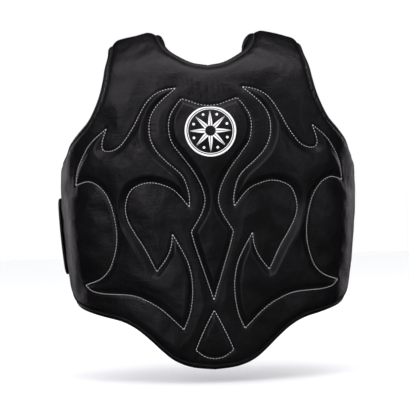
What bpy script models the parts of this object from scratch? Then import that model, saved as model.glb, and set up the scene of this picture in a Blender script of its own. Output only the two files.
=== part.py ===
"""A padded leather chest protector for martial arts and boxing, with a belt and a crossed harness behind.

Frame: metres, +Z up, +X towards the wearer's left, and the front faces -Y. The origin is on the axis of the
wearer's torso, level with the lowest point of the hem.

Every soft piece is cut from one flat pattern and laid on one torso form. A flat point is (u, v) in millimetres:
u runs round the torso from the front centre line, v runs up the front from the hem and on over the shoulder.
A piece is then two offsets from the form's surface, where 0 is the leather's outer face, plus is away from the
body and minus is into the padding.
"""

import math

import bpy
import numpy as np
from mathutils.geometry import delaunay_2d_cdt

MM = 0.001

# ---------------------------------------------------------------- driving dimensions, in millimetres
HALF_WIDTH = 226.0  # of the torso form, at the chest
FRONT_DEPTH = 150.0  # from the side line to the front
BACK_DEPTH = 125.0  # from the side line to the back
SQUARENESS = 2.35  # 2 is an ellipse, more is boxier
WIDEST_Z = 281.0
WAIST_TAPER = 0.17  # how much the width falls towards the hem
SHOULDER_SLOPE = 0.23
NECK_HALF_WIDTH = 72.0

# The front centre line of the form from the hem up, then over the shoulder and down behind it: (y, z).
PROFILE = [(-133, -16), (-138, 0), (-146, 50), (-150, 110), (-150, 200), (-150, 290), (-149, 345), (-141, 400),
           (-124, 440), (-98, 472), (-60, 497), (-14, 511), (26, 505), (51, 487), (65, 462), (73, 425)]
PLUMB_FROM, PLUMB_TO = 110, 290  # the stretch of the front that stands straight up
# How far behind the side line the wearer's back is, by height: (z, y).
BACK_LINE = [(0, 125), (330, 125), (400, 116), (450, 100), (500, 76)]

# The layers, from the outside in: how far each face lies under the leather's outer face.
COVER = (0.0, -1.5)
RELIEF_FOAM = (-2.7, -8.7)
IMPACT_FOAM = (-10.1, -19.9)
COMFORT_FOAM = (-21.1, -25.6)
LINING = (-27.3, -28.5)
RIM = 12.0  # the padding thins to its edge over this width
RIM_DROP = 6.5  # how far the leather comes down at the edge
RIM_RISE = 11.0  # how far the lining comes up at the edge
FOAM_INSET = 15.0
QUILT_GAP = 6.0  # the stitched channel between a relief pad and the foam round it

BINDING_WIDTH = 7.0  # how far the edge binding reaches over the leather
BINDING_OUT = 3.0
BINDING_SKIN = 1.4
BINDING_GAP = 1.7
END_GAP = 1.5  # at each end of a binding

SEAM_STEP = 19.0  # between points along a seam

# Things on the outside of the leather
HOOK_FACE = (2.6, 3.8)
LOOP_FACE = (0.8, 2.0)
EMBLEM_FACE = (0.9, 0.4)
BELT_FACE = (4.6, 7.6)
BELT_LOW, BELT_HIGH = 140.0, 258.0
STRAP_WIDTH = 50.0
STRAP_SKIN = 4.0

WING_END = 440.0  # u of the wings' rear edges
FLAP_END_Z = 470.0  # where the shoulder flaps end, behind
BELT_HINGE_U = 400.0
TAB_HINGE_U = 425.0
TAB_END_U = 316.0


# ---------------------------------------------------------------- the torso form
def through(points, step):
    """A smooth open curve through the points, as points about step apart. The ends are kept."""
    points = np.array(points, float)
    along = np.concatenate([[0], np.cumsum(np.linalg.norm(np.diff(points, axis=0), axis=1) ** 0.5)])
    before = 2 * points[0] - points[1]
    after = 2 * points[-1] - points[-2]
    fenced = np.vstack([before, points, after])
    knots = np.concatenate([[2 * along[0] - along[1]], along, [2 * along[-1] - along[-2]]])
    fine = []
    for i in range(1, len(fenced) - 2):
        t = np.linspace(knots[i], knots[i + 1], 24, endpoint=False)[:, None]
        k0, k1, k2, k3 = knots[i - 1:i + 3]
        p0, p1, p2, p3 = fenced[i - 1:i + 3]
        a1 = (k1 - t) / (k1 - k0) * p0 + (t - k0) / (k1 - k0) * p1
        a2 = (k2 - t) / (k2 - k1) * p1 + (t - k1) / (k2 - k1) * p2
        a3 = (k3 - t) / (k3 - k2) * p2 + (t - k2) / (k3 - k2) * p3
        b1 = (k2 - t) / (k2 - k0) * a1 + (t - k0) / (k2 - k0) * a2
        b2 = (k3 - t) / (k3 - k1) * a2 + (t - k1) / (k3 - k1) * a3
        fine.append((k2 - t) / (k2 - k1) * b1 + (t - k1) / (k2 - k1) * b2)
    return spaced(np.vstack([*fine, points[-1:]]), step)


def spaced(line, step):
    """The same line with its points about step apart, and its ends kept."""
    along = np.concatenate([[0], np.cumsum(np.linalg.norm(np.diff(line, axis=0), axis=1))])
    at = np.linspace(0, along[-1], max(2, round(along[-1] / step) + 1))
    return np.stack([np.interp(at, along, line[:, k]) for k in range(line.shape[1])], axis=1)


def section_table():
    """Half of the form's level section, from the front centre to the back centre: u, x and y."""
    turn = np.linspace(0, math.pi, 2881)
    power = 2 / SQUARENESS
    x = HALF_WIDTH * np.abs(np.sin(turn)) ** power
    depth = np.where(turn <= math.pi / 2, FRONT_DEPTH, BACK_DEPTH)
    y = -np.sign(np.cos(turn)) * depth * np.abs(np.cos(turn)) ** power
    u = np.concatenate([[0], np.cumsum(np.hypot(np.diff(x), np.diff(y)))])
    return u, x, y


def profile_table():
    """The front centre line: v, y and z."""
    line = through(PROFILE, 1.0)
    plumb = (line[:, 1] > PLUMB_FROM) & (line[:, 1] < PLUMB_TO)
    line[plumb, 0] = -FRONT_DEPTH
    v = np.concatenate([[0], np.cumsum(np.linalg.norm(np.diff(line, axis=0), axis=1))])
    return v, line[:, 0], line[:, 1]


SECTION_U, SECTION_X, SECTION_Y = section_table()
PROFILE_V, PROFILE_Y, PROFILE_Z = profile_table()
SIDE = int(SECTION_X.argmax())
TOP = int(PROFILE_Z.argmax())
U_BACK = float(SECTION_U[-1])
V_TOP = float(PROFILE_V[TOP])


def waist(z):
    return 1 - WAIST_TAPER * (np.clip(WIDEST_Z - z, 0, None) / WIDEST_Z) ** 2


def drop(x):
    """How much lower than the neck's side the shoulder is, that far out."""
    return SHOULDER_SLOPE * (np.sqrt(x * x + 25.0 ** 2) - NECK_HALF_WIDTH)


def shoulder_share(z, v):
    share = np.clip((z - 425) / 75, 0, 1)
    share = share * share * (3 - 2 * share)
    return np.where(v > V_TOP, 1.0, share)


def form(u, v):
    """The points of the form's surface at flat points, an array of (x, y, z)."""
    u, v = np.asarray(u, float), np.asarray(v, float)
    round_back = np.abs(u) > U_BACK
    around = np.where(round_back, 2 * U_BACK - np.abs(u), np.abs(u))
    side = np.sign(u) * np.where(round_back, -1, 1)
    front_y, z = np.interp(v, PROFILE_V, PROFILE_Y), np.interp(v, PROFILE_V, PROFILE_Z)
    x = side * np.interp(around, SECTION_U, SECTION_X) * waist(z)
    back_y = np.interp(z, *np.transpose(BACK_LINE))
    deep = np.where(v > V_TOP, 0.62, (back_y - np.minimum(front_y, 0)) / (FRONT_DEPTH + BACK_DEPTH))
    y = front_y + (np.interp(around, SECTION_U, SECTION_Y) + FRONT_DEPTH) * deep
    return np.stack([x, y, z - shoulder_share(z, v) * drop(x)], axis=-1)


def lifted(u, v, lift):
    """The form's points moved along its outward normal by lift, which is one number or one for each point."""
    u, v = np.asarray(u, float), np.asarray(v, float)
    across = form(u + 2.0, v) - form(u - 2.0, v)
    up = form(u, v + 2.0) - form(u, v - 2.0)
    normal = np.cross(across, up)
    normal /= np.linalg.norm(normal, axis=-1, keepdims=True)
    return form(u, v) + normal * np.broadcast_to(lift, u.shape)[..., None]


def height_to_v(x, z, rear):
    """v of the point at height z and that far from the centre plane: on the front, or past the shoulder's top."""
    branch = slice(TOP, None) if rear else slice(0, TOP + 1)
    v, profile_z = PROFILE_V[branch], PROFILE_Z[branch]
    height = profile_z - shoulder_share(profile_z, v) * drop(np.asarray(x, float))
    return float(np.interp(z, height[::-1], v[::-1]) if rear else np.interp(z, height, v))


def front(x, z):
    """The flat point that is seen at (x, z) from the front."""
    width = float(waist(z))
    u = math.copysign(np.interp(abs(x) / width, SECTION_X[:SIDE + 1], SECTION_U[:SIDE + 1]), x)
    return u, height_to_v(x, z, rear=False)


def over_shoulder(x, z):
    """The flat point on the shoulder flap, behind its top."""
    return front(x, z)[0], height_to_v(x, z, rear=True)


def wing(u, z):
    """The flat point at arc length u and height z, for the wings and the back."""
    return u, height_to_v(0.0, z, rear=False)


def behind(x, z):
    """The flat point on the wearer's back at (x, z). It is on the side of x's sign."""
    u = np.interp(-abs(x) / float(waist(z)), -SECTION_X[SIDE:], SECTION_U[SIDE:])
    return math.copysign(u, x), height_to_v(0.0, z, rear=False)


# ---------------------------------------------------------------- outlines, as seen from the front: (x, z)
HEM = [(0, 0), (30, 3.5), (47, 8.5), (62, 16), (78, 29), (98, 47.5), (117, 62.5), (138, 73), (168, 80), (200, 88)]
ARMHOLE = [(221, 321), (213, 338), (199, 354), (183, 371), (168, 400), (159, 430), (154, 459), (150, 478)]
NECK = [(71, 505), (66, 490), (58, 479), (44, 468), (24, 457), (0, 452)]

# The quilting lines. Each run is a smooth curve, and two runs meet in a point.
FLAME_RUNS = [
    [(49, 416), (66, 413), (82, 406), (94, 394), (116, 355), (125, 342), (136, 330), (149, 325), (159, 327),
     (161, 335), (154, 359)],
    [(154, 359), (179, 337), (191, 318), (199, 300), (202, 276)],
    [(202, 276), (183, 281), (172, 277), (161, 267), (152, 252), (143, 218), (142, 190), (147, 166), (155, 148),
     (167, 136), (191, 126)],
    [(191, 126), (182, 118), (165, 114), (141, 113), (119, 111), (98, 103), (78, 91), (45, 60)],
    [(45, 60), (36, 82), (31, 115), (33, 143), (39, 164), (59, 201)],
    [(59, 201), (61, 184), (67, 168), (83, 146)],
    [(83, 146), (100, 180), (113, 201), (125, 224), (127, 246), (119, 266), (106, 274), (89, 277), (71, 273),
     (55, 265), (33, 240)],
    [(33, 240), (33, 257), (39, 279), (46, 290), (65, 307), (79, 322), (88, 340), (90, 358), (87, 375), (77, 391),
     (49, 416)],
]
SHIELD_RUNS = [
    [(0, 389), (15, 391), (29, 396), (41, 400)],
    [(41, 400), (50, 389), (59, 373), (61, 356), (57, 336), (44, 317), (27, 294), (14, 269), (10, 250), (14, 233),
     (31, 204)],
    [(31, 204), (26, 184), (17, 156), (0, 103)],
]
DROP_RUNS = [[(0, 88), (15, 59), (28, 29)], [(28, 29), (14, 19), (0, 16)]]

EMBLEM_CENTRE = (0.0, 350.0)
EMBLEM_RADIUS = 37.0
EMBLEM_RING = 4.5
STAR_POINTS = 8


def flat(points, place=front):
    return [place(*p) for p in points]


def mirrored(points):
    return [(-u, v) for u, v in points]


def stitched(runs, step=SEAM_STEP):
    """One side of a quilting line, on the flat pattern, with its meeting points kept."""
    lines = [through(flat(run), step) for run in runs]
    return [tuple(p) for line in lines for p in line[:-1]] + [tuple(lines[-1][-1])]


def both_sides(half):
    """A closed outline from its +X half, whose two ends are on the centre line."""
    half = [tuple(p) for p in half]
    return half + mirrored(half[-2:0:-1])


def half_outline():
    """The panel's edge on the +X side: hem, wing, armhole, shoulder flap and neck."""
    wing_hem = [wing(300, 94), wing(350, 98), wing(395, 106), wing(424, 118), wing(WING_END - 3, 142)]
    wing_rear = [wing(WING_END, 180), wing(WING_END, 290), wing(WING_END - 5, 314), wing(WING_END - 25, 326)]
    wing_top = [wing(385, 321), wing(340, 312)]
    shoulder_side = [(front(149, 480)[0], V_TOP - 12), over_shoulder(147, 485), over_shoulder(141, 472)]
    flap_end = [over_shoulder(130, FLAP_END_Z - 4), over_shoulder(78, FLAP_END_Z), over_shoulder(66, 477)]
    neck_side = [over_shoulder(64, 495), (front(70, 500)[0], V_TOP + 2)]
    edge = flat(HEM) + wing_hem + wing_rear + wing_top + flat(ARMHOLE) + shoulder_side + flap_end + neck_side
    return through(edge + flat(NECK), SEAM_STEP)


def part_of(line, start, end):
    """The stretch of a line between the points that are nearest to two flat points."""
    first, last = (int(np.linalg.norm(line - np.array(p), axis=1).argmin()) for p in (start, end))
    return line[first:last + 1]


# ---------------------------------------------------------------- flat geometry
def segments_of(loop, closed=True):
    a = np.array(loop, float)
    return (a, np.roll(a, -1, axis=0)) if closed else (a[:-1], a[1:])


def distance(points, loop, closed=True):
    """How far each flat point is from an outline."""
    a, b = segments_of(loop, closed)
    d = b - a
    p = np.asarray(points, float)[:, None, :]
    t = np.clip(((p - a) * d).sum(-1) / np.maximum((d * d).sum(-1), 1e-9), 0, 1)
    return np.linalg.norm(p - a - t[..., None] * d, axis=-1).min(axis=1)


def inside(points, loop):
    """Which flat points are inside a closed outline."""
    a, b = segments_of(loop)
    x, y = np.asarray(points, float).T[:, :, None]
    crosses = (a[:, 1] > y) != (b[:, 1] > y)
    rise = np.where(b[:, 1] == a[:, 1], 1e-9, b[:, 1] - a[:, 1])
    return ((x < (b[:, 0] - a[:, 0]) * (y - a[:, 1]) / rise + a[:, 0]) & crosses).sum(axis=1) % 2 == 1


def area(loop):
    a, b = segments_of(loop)
    return float((a[:, 0] * b[:, 1] - b[:, 0] * a[:, 1]).sum() / 2)


def inset(loop, by):
    """The outline drawn in by that much, without the points that a sharp place folds over."""
    p = np.array(loop, float)
    p = p if area(p) > 0 else p[::-1]
    along = np.roll(p, -1, axis=0) - np.roll(p, 1, axis=0)
    normal = np.stack([-along[:, 1], along[:, 0]], axis=1)
    moved = p + by * normal / np.linalg.norm(normal, axis=1, keepdims=True)
    clear = (distance(moved, p) > 0.97 * abs(by)) & (inside(moved, p) == (by > 0))
    return [tuple(q) for q in moved[clear]]


def grid(fine):
    """The form's own lines: close together where it curves, and closer still for what lies on the leather."""
    if fine:
        front_u = np.concatenate([np.arange(296, WING_END, 9), [465, 495, 535, 570]])
        u = np.concatenate([front_u, 2 * U_BACK - front_u])
        u = np.concatenate([-u, u])
        v = np.array([170, 200, 230])
    else:
        half_u = np.concatenate([[15, 45, 75, 105, 135, 160], np.arange(180, WING_END, 18)])
        u = np.concatenate([-half_u, half_u])
        v = np.concatenate([[45, 110, 170, 230, 290, 345, 385, 415, 440], np.arange(460, PROFILE_V[-1], 20)])
    return np.array([(a, b) for a in u for b in v])


def triangles(outline, holes=(), extra=(), clearance=6.0, fine=False):
    """Flat points and the triangles between them that fill an outline and leave its holes."""
    loops = [list(outline), *map(list, holes)]
    points = [p for loop in loops for p in loop]
    edges = []
    start = 0
    for loop in loops:
        n = len(loop)
        edges += [(start + i, start + (i + 1) % n) for i in range(n)]
        start += n
    inner = np.array([*extra, *grid(fine)], float).reshape(-1, 2)
    keep = inside(inner, outline) & (distance(inner, outline) > clearance)
    for hole in holes:
        keep &= ~inside(inner, hole) & (distance(inner, hole) > clearance)
    points += [tuple(p) for p in inner[keep]]
    made = delaunay_2d_cdt([tuple(p) for p in points], edges, [], 0, 1e-6)
    flat_points = np.array([tuple(p) for p in made[0]])
    faces = np.array([f for f in made[2] if len(f) == 3])
    middle = flat_points[faces].mean(axis=1)
    wanted = inside(middle, outline)
    for hole in holes:
        wanted &= ~inside(middle, hole)
    faces = faces[wanted]
    a, b, c = (flat_points[faces[:, k]] for k in range(3))
    turn = (b[:, 0] - a[:, 0]) * (c[:, 1] - a[:, 1]) - (b[:, 1] - a[:, 1]) * (c[:, 0] - a[:, 0])
    faces[turn < 0] = faces[turn < 0][:, ::-1]
    used, index = np.unique(faces, return_inverse=True)
    return flat_points[used], index.reshape(-1, 3)


# ---------------------------------------------------------------- solids
BLACK_LEATHER = ((0.012, 0.012, 0.013, 1), 0.42)
MATERIALS = {
    "leather": BLACK_LEATHER,
    "binding": ((0.008, 0.008, 0.009, 1), 0.38),
    "foam": ((0.16, 0.16, 0.17, 1), 0.95),
    "soft_foam": ((0.62, 0.60, 0.52, 1), 0.95),
    "lining": ((0.015, 0.015, 0.017, 1), 0.8),
    "elastic": ((0.01, 0.01, 0.011, 1), 0.85),
    "hook_and_loop": ((0.006, 0.006, 0.006, 1), 1.0),
    "print": ((0.85, 0.85, 0.85, 1), 0.5),
}


def material(name):
    found = bpy.data.materials.get(name)
    if found:
        return found
    made = bpy.data.materials.new(name)
    made.use_nodes = True
    shader = made.node_tree.nodes["Principled BSDF"]
    colour, roughness = MATERIALS[name]
    shader.inputs["Base Color"].default_value = colour
    shader.inputs["Roughness"].default_value = roughness
    shader.inputs["Metallic"].default_value = 0.0
    return made


def add(name, points, faces, made_of, parent=None, origin=(0, 0, 0)):
    """One named object. Its points are in the frame, in millimetres, and origin is its place."""
    origin = np.array(origin, float)
    mesh = bpy.data.meshes.new(name)
    mesh.from_pydata([tuple(p) for p in (np.asarray(points) - origin) * MM], [], [tuple(map(int, f)) for f in faces])
    mesh.materials.append(material(made_of))
    mesh.shade_smooth()
    mesh.set_sharp_from_angle(angle=math.radians(35))
    piece = bpy.data.objects.new(name, mesh)
    bpy.context.scene.collection.objects.link(piece)
    piece.parent = parent
    base = np.array(parent["place_mm"]) if parent else np.zeros(3)
    piece.location = (origin - base) * MM
    return piece


def pivot(name, place):
    """An empty on a joint's axis. What moves about it is its child."""
    empty = bpy.data.objects.new(name, None)
    empty.location = np.array(place) * MM
    empty["place_mm"] = [float(x) for x in place]
    bpy.context.scene.collection.objects.link(empty)
    return empty


def slab(points, faces, outer, inner):
    """A closed solid between two lifts of one triangulated piece: its points and faces."""
    n = len(points)
    u, v = points.T
    both = np.vstack([lifted(u, v, outer), lifted(u, v, inner)])
    edges = np.concatenate([faces[:, [0, 1]], faces[:, [1, 2]], faces[:, [2, 0]]])
    known = set(map(tuple, edges))
    walls = [(b, a, a + n, b + n) for a, b in edges if (b, a) not in known]
    return both, [*map(tuple, faces), *map(tuple, faces[:, ::-1] + n), *walls]


def laid(name, outline, outer, inner, made_of, holes=(), parent=None, fine=False):
    """A piece cut to an outline and laid on the form between two lifts."""
    points, faces = triangles(outline, holes, fine=fine)
    solid_points, solid_faces = slab(points, faces, outer, inner)
    origin = np.array(parent["place_mm"]) if parent else np.zeros(3)
    return add(name, solid_points, solid_faces, made_of, parent, origin)


def rimmed(name, outline, faces_at, edge_move, made_of):
    """A skin that moves by edge_move from its own level to the panel's edge, over the rim's width."""
    points, faces = triangles(outline, extra=inset(outline, RIM), clearance=RIM - 1.5)
    share = 1 - np.clip(distance(points, outline) / RIM, 0, 1)
    moved = edge_move * share
    return add(name, *slab(points, faces, faces_at[0] + moved, faces_at[1] + moved), made_of)


def binding(name, line, made_of="binding"):
    """A folded strip along an open line of the panel's edge: a channel over the leather and the lining."""
    line = np.asarray(line, float)
    along = np.gradient(line, axis=0)
    out = np.stack([along[:, 1], -along[:, 0]], axis=1)
    out /= np.linalg.norm(out, axis=1, keepdims=True)
    slope_top = RIM_DROP / RIM * BINDING_WIDTH
    slope_low = RIM_RISE / RIM * BINDING_WIDTH
    top = COVER[0] - RIM_DROP + BINDING_GAP
    low = LINING[1] + RIM_RISE - BINDING_GAP
    skin = BINDING_SKIN
    inner_out = BINDING_OUT - skin
    channel = [(-BINDING_WIDTH, top + slope_top + skin), (-BINDING_WIDTH, top + slope_top), (inner_out, top - 0.5),
               (inner_out, low + 0.5), (-BINDING_WIDTH, low - slope_low), (-BINDING_WIDTH, low - slope_low - skin),
               (BINDING_OUT, low - 0.4), (BINDING_OUT, top + 0.4)]
    rings = []
    for offset, lift in channel:
        at = line + out * offset
        rings.append(lifted(at[:, 0], at[:, 1], lift))
    points = np.stack(rings, axis=1).reshape(-1, 3)
    n = len(channel)
    faces = []
    for i in range(len(line) - 1):
        for k in range(n):
            m = (k + 1) % n
            faces.append((i * n + k, (i + 1) * n + k, (i + 1) * n + m, i * n + m))
    faces.append(tuple(range(n)))
    faces.append(tuple(len(points) - 1 - k for k in range(n)))
    return add(name, points, faces, made_of)


def shortened(line, by):
    """An open line with that much taken off each end, and its other points kept."""
    line = np.array(line, float)
    for end, near in ((0, 1), (-1, -2)):
        step = line[near] - line[end]
        line[end] += step * by / np.linalg.norm(step)
    return line


def ribbon(name, centre, normal, made_of, parent):
    """A strap of even width and thickness. centre is the middle of its inner face, normal points away from it."""
    along = np.gradient(centre, axis=0)
    across = np.cross(along, normal)
    across /= np.linalg.norm(across, axis=1, keepdims=True)
    up = np.cross(across, along)
    up /= np.linalg.norm(up, axis=1, keepdims=True)
    half = across * STRAP_WIDTH / 2
    skin = up * STRAP_SKIN
    rings = np.stack([centre - half, centre + half, centre + half + skin, centre - half + skin], axis=1)
    count = len(centre)
    faces = [(4 * i + k, 4 * i + 4 + k, 4 * i + 4 + (k + 1) % 4, 4 * i + (k + 1) % 4)
             for i in range(count - 1) for k in range(4)]
    faces.append((0, 1, 2, 3))
    faces.append(tuple(4 * count - 1 - k for k in range(4)))
    return add(name, rings.reshape(-1, 3), faces, made_of, parent, parent["place_mm"])


def bar(start, end, width, step=9.0):
    """A straight bar between two flat points, as a closed outline."""
    start, end = np.array(start), np.array(end)
    along = (end - start) / np.linalg.norm(end - start)
    side = np.array([along[1], -along[0]]) * width / 2
    corners = np.array([start + side, end + side, end - side, start - side, start + side])
    runs = [spaced(corners[i:i + 2], step) for i in range(4)]
    return [tuple(p) for run in runs for p in run[:-1]][::-1]


def rectangle(u0, u1, z0, z1, corner, step=9.0):
    """A rounded rectangle on the wings or the back, as a closed outline. u1 may lie past the back centre."""
    (u0, v0), (u1, v1) = wing(u0, z0), wing(u1, z1)
    loop = []
    for cu, cv, first in ((u1 - corner, v0 + corner, -90), (u1 - corner, v1 - corner, 0),
                          (u0 + corner, v1 - corner, 90), (u0 + corner, v0 + corner, 180)):
        for a in np.radians(first + np.array([0, 45, 90])):
            loop.append((cu + corner * math.cos(a), cv + corner * math.sin(a)))
    closed = np.array(loop + loop[:1])
    runs = [spaced(closed[i:i + 2], step) for i in range(len(loop))]
    return [tuple(p) for run in runs for p in run[:-1]]


# ---------------------------------------------------------------- the pieces
def vest():
    """The padded panel: leather, relief pads, foams, lining and edge bindings."""
    outline = both_sides(half_outline())
    core = inset(outline, FOAM_INSET)
    flame = stitched(FLAME_RUNS)[:-1]
    shield = both_sides(stitched(SHIELD_RUNS))
    low_drop = both_sides(stitched(DROP_RUNS))
    rimmed("front_cover", outline, COVER, -RIM_DROP, "leather")
    laid("field_foam", core, *RELIEF_FOAM, "foam", holes=[flame, mirrored(flame), shield, low_drop])
    pads = {"left_flame_pad": flame, "right_flame_pad": mirrored(flame), "shield_pad": shield, "drop_pad": low_drop}
    for name, loop in pads.items():
        laid(name, inset(loop, QUILT_GAP), *RELIEF_FOAM, "soft_foam")
    laid("impact_foam", core, *IMPACT_FOAM, "foam")
    laid("comfort_foam", core, *COMFORT_FOAM, "soft_foam")
    rimmed("inner_lining", outline, LINING, RIM_RISE, "lining")
    edge = half_outline()
    wing_corner, flap_corner = wing(WING_END, 210), over_shoulder(104, FLAP_END_Z - 2)
    hem = part_of(edge, edge[0], wing_corner)
    neck = part_of(edge, flap_corner, edge[-1])
    side = part_of(edge, wing_corner, flap_corner)
    binding("hem_binding", shortened(np.vstack([(hem * [-1, 1])[::-1], hem[1:]]), END_GAP))
    binding("neck_binding", shortened(np.vstack([neck, (neck * [-1, 1])[-2::-1]]), END_GAP))
    binding("left_side_binding", shortened(side, END_GAP))
    binding("right_side_binding", shortened((side * [-1, 1])[::-1], END_GAP))


def emblem():
    """A plain printed badge: a ring that holds an eight-pointed star."""
    centre_u, centre_v = front(*EMBLEM_CENTRE)
    inner = EMBLEM_RADIUS - EMBLEM_RING
    step = math.tau / STAR_POINTS

    def at(radius, angle):
        return centre_u + radius * math.sin(angle), centre_v + radius * math.cos(angle)

    ring = [at(EMBLEM_RADIUS, -i * step / 3) for i in range(3 * STAR_POINTS)]
    windows = []
    for i in range(STAR_POINTS):
        arc = [at(inner, i * step + step * share) for share in (0.06, 0.35, 0.65, 0.94)]
        windows.append([at(inner * 0.42, i * step + step / 2), *arc])
    laid("chest_emblem", ring, *EMBLEM_FACE, "print", holes=windows)


def belt():
    """The waist belt. It is sewn to the left wing, goes round the back and closes on the right wing."""
    height = (BELT_LOW, BELT_HIGH)
    tab_end, tab_hinge = 2 * U_BACK - TAB_END_U, 2 * U_BACK - TAB_HINGE_U
    laid("belt_anchor", rectangle(352, BELT_HINGE_U - 1.5, *height, 4), BELT_FACE[1], 1.0, "leather", fine=True)
    belt_body = pivot("belt_hinge", lifted(*wing(BELT_HINGE_U, 200), BELT_FACE[1]))
    laid("belt_elastic", rectangle(BELT_HINGE_U + 1.5, tab_hinge - 1.5, BELT_LOW + 4, BELT_HIGH - 4, 2),
         BELT_FACE[1], BELT_FACE[0], "elastic", parent=belt_body, fine=True)
    tab_body = pivot("belt_tab_hinge", lifted(*wing(tab_hinge, 200), BELT_FACE[1]))
    laid("belt_tab", rectangle(tab_hinge + 1.5, tab_end, *height, 14), BELT_FACE[1], BELT_FACE[0], "leather",
         parent=tab_body, fine=True)
    laid("belt_tab_hook", rectangle(tab_hinge + 8, tab_end - 9, BELT_LOW + 9, BELT_HIGH - 9, 5), HOOK_FACE[1],
         HOOK_FACE[0], "hook_and_loop", parent=tab_body, fine=True)
    laid("wing_loop_panel", rectangle(-(WING_END - 16), -(TAB_END_U + 8), BELT_LOW + 5, BELT_HIGH - 5, 5),
         LOOP_FACE[1], LOOP_FACE[0], "hook_and_loop", fine=True)


# The middle of a strap's inner face, from the end of its shoulder flap to where the straps cross, (x, y, z), and
# then over the far half of the back to the other wing: (x, z, lift).
STRAP_TOP = [(104, 48.5, 450), (102, 57, 435), (88, 84, 412), (50, 109, 390), (0, 119, 371)]
STRAP_LOW = [(-62, 343, 0), (-118, 321, 3.5), (-158, 307, 5.5), (-186, 299, 5)]
STRAP_TOP_NORMALS = [(0, 0.88, 0.48), (0.1, 0.85, 0.52), (0.25, 0.82, 0.5), (0.12, 0.93, 0.35), (0, 0.96, 0.27)]
CROSSING_RISE = 6.5  # the strap on top goes over the other one
CROSSING_REACH = 115.0
PATCH_END_GAP = 7.0
CROSS_PATCH = 52.0  # from corner to corner
PATCH_LIFT, PATCH_SKIN = 0.8, 1.8


def across_back(x, z):
    """A flat point on the back, whose u keeps counting past the back centre line as x goes from + to -."""
    u, v = behind(abs(x), z)
    return (u if x >= 0 else 2 * U_BACK - u), v


def harness():
    """The two straps that cross behind, sewn together where they cross, with hook and loop at their ends."""
    low = np.array([across_back(x, z) for x, z, _ in STRAP_LOW])
    lifts = np.array([lift for *_, lift in STRAP_LOW])
    low_points = lifted(low[:, 0], low[:, 1], lifts)
    low_normals = lifted(low[:, 0], low[:, 1], lifts + 1) - low_points
    route = np.hstack([np.vstack([STRAP_TOP, low_points]), np.vstack([STRAP_TOP_NORMALS, low_normals])])
    route = through(route, 15.0)
    crossing = np.array(STRAP_TOP[-1])
    nearness = np.clip(1 - np.linalg.norm(route[:, :3] - crossing, axis=1) / CROSSING_REACH, 0, 1)
    rise = CROSSING_RISE * np.clip(2.2 * nearness, 0, 1)[:, None]
    body = pivot("harness_hinge", (0.0, STRAP_TOP[0][1] + STRAP_SKIN / 2, STRAP_TOP[0][2] + 1.0))
    tail = low[-2:] + np.array([[-26.0, 3.0], [0.0, 0.0]])
    for name, mirror in (("left", 1), ("right", -1)):
        flip = np.array([mirror, 1, 1])
        centre, normal = route[:, :3] * flip, route[:, 3:] * flip
        centre = centre + (rise * normal if mirror < 0 else 0)
        ribbon(f"{name}_strap", centre, normal, "leather", body)
        ends = shortened(tail if mirror > 0 else tail * [-1, 1] + [2 * U_BACK, 0], PATCH_END_GAP)
        hook, loop = bar(*ends, STRAP_WIDTH - 14), bar(*ends, STRAP_WIDTH - 6)
        laid(f"{name}_strap_hook", hook, *HOOK_FACE[::-1], "hook_and_loop", parent=body, fine=True)
        laid(f"{name}_strap_loop", loop, *LOOP_FACE[::-1], "hook_and_loop", fine=True)
    outward = np.array(STRAP_TOP_NORMALS[-1])
    base = crossing + outward * (CROSSING_RISE + STRAP_SKIN + PATCH_LIFT)
    aside = np.array([1.0, 0.0, 0.0])
    upward = np.cross(aside, outward)
    corners = np.array([base + CROSS_PATCH / 2 * d for d in (-aside, -upward, aside, upward)])
    faces = [(0, 1, 2, 3), (7, 6, 5, 4), *[(k, k + 4, (k + 1) % 4 + 4, (k + 1) % 4) for k in range(4)]]
    points = np.vstack([corners, corners + outward * PATCH_SKIN])
    add("cross_patch", points, faces, "leather", body, body["place_mm"])


def main():
    for old in list(bpy.data.objects):
        bpy.data.objects.remove(old)
    vest()
    emblem()
    belt()
    harness()


main()
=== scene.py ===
"""The looks of the chest protector: quilted black leather, pale quilting thread, rolled edges, belt and harness.

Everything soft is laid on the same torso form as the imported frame. A flat point is (u, v) in millimetres: u runs
round the torso from the front centre line, v runs up the front and over the shoulder. A lift is a height above the
leather's nominal face. The last step turns millimetres into metres.
"""

import math

import bpy
import numpy as np
from mathutils import Matrix, Vector, kdtree


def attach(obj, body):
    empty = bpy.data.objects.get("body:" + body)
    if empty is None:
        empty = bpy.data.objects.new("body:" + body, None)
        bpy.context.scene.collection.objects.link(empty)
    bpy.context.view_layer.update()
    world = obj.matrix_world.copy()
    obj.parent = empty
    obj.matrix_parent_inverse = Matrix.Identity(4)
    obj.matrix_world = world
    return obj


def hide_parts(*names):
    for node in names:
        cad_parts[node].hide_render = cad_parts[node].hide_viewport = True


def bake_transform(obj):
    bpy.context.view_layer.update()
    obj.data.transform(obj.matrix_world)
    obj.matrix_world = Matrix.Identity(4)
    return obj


MM = 0.001

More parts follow.
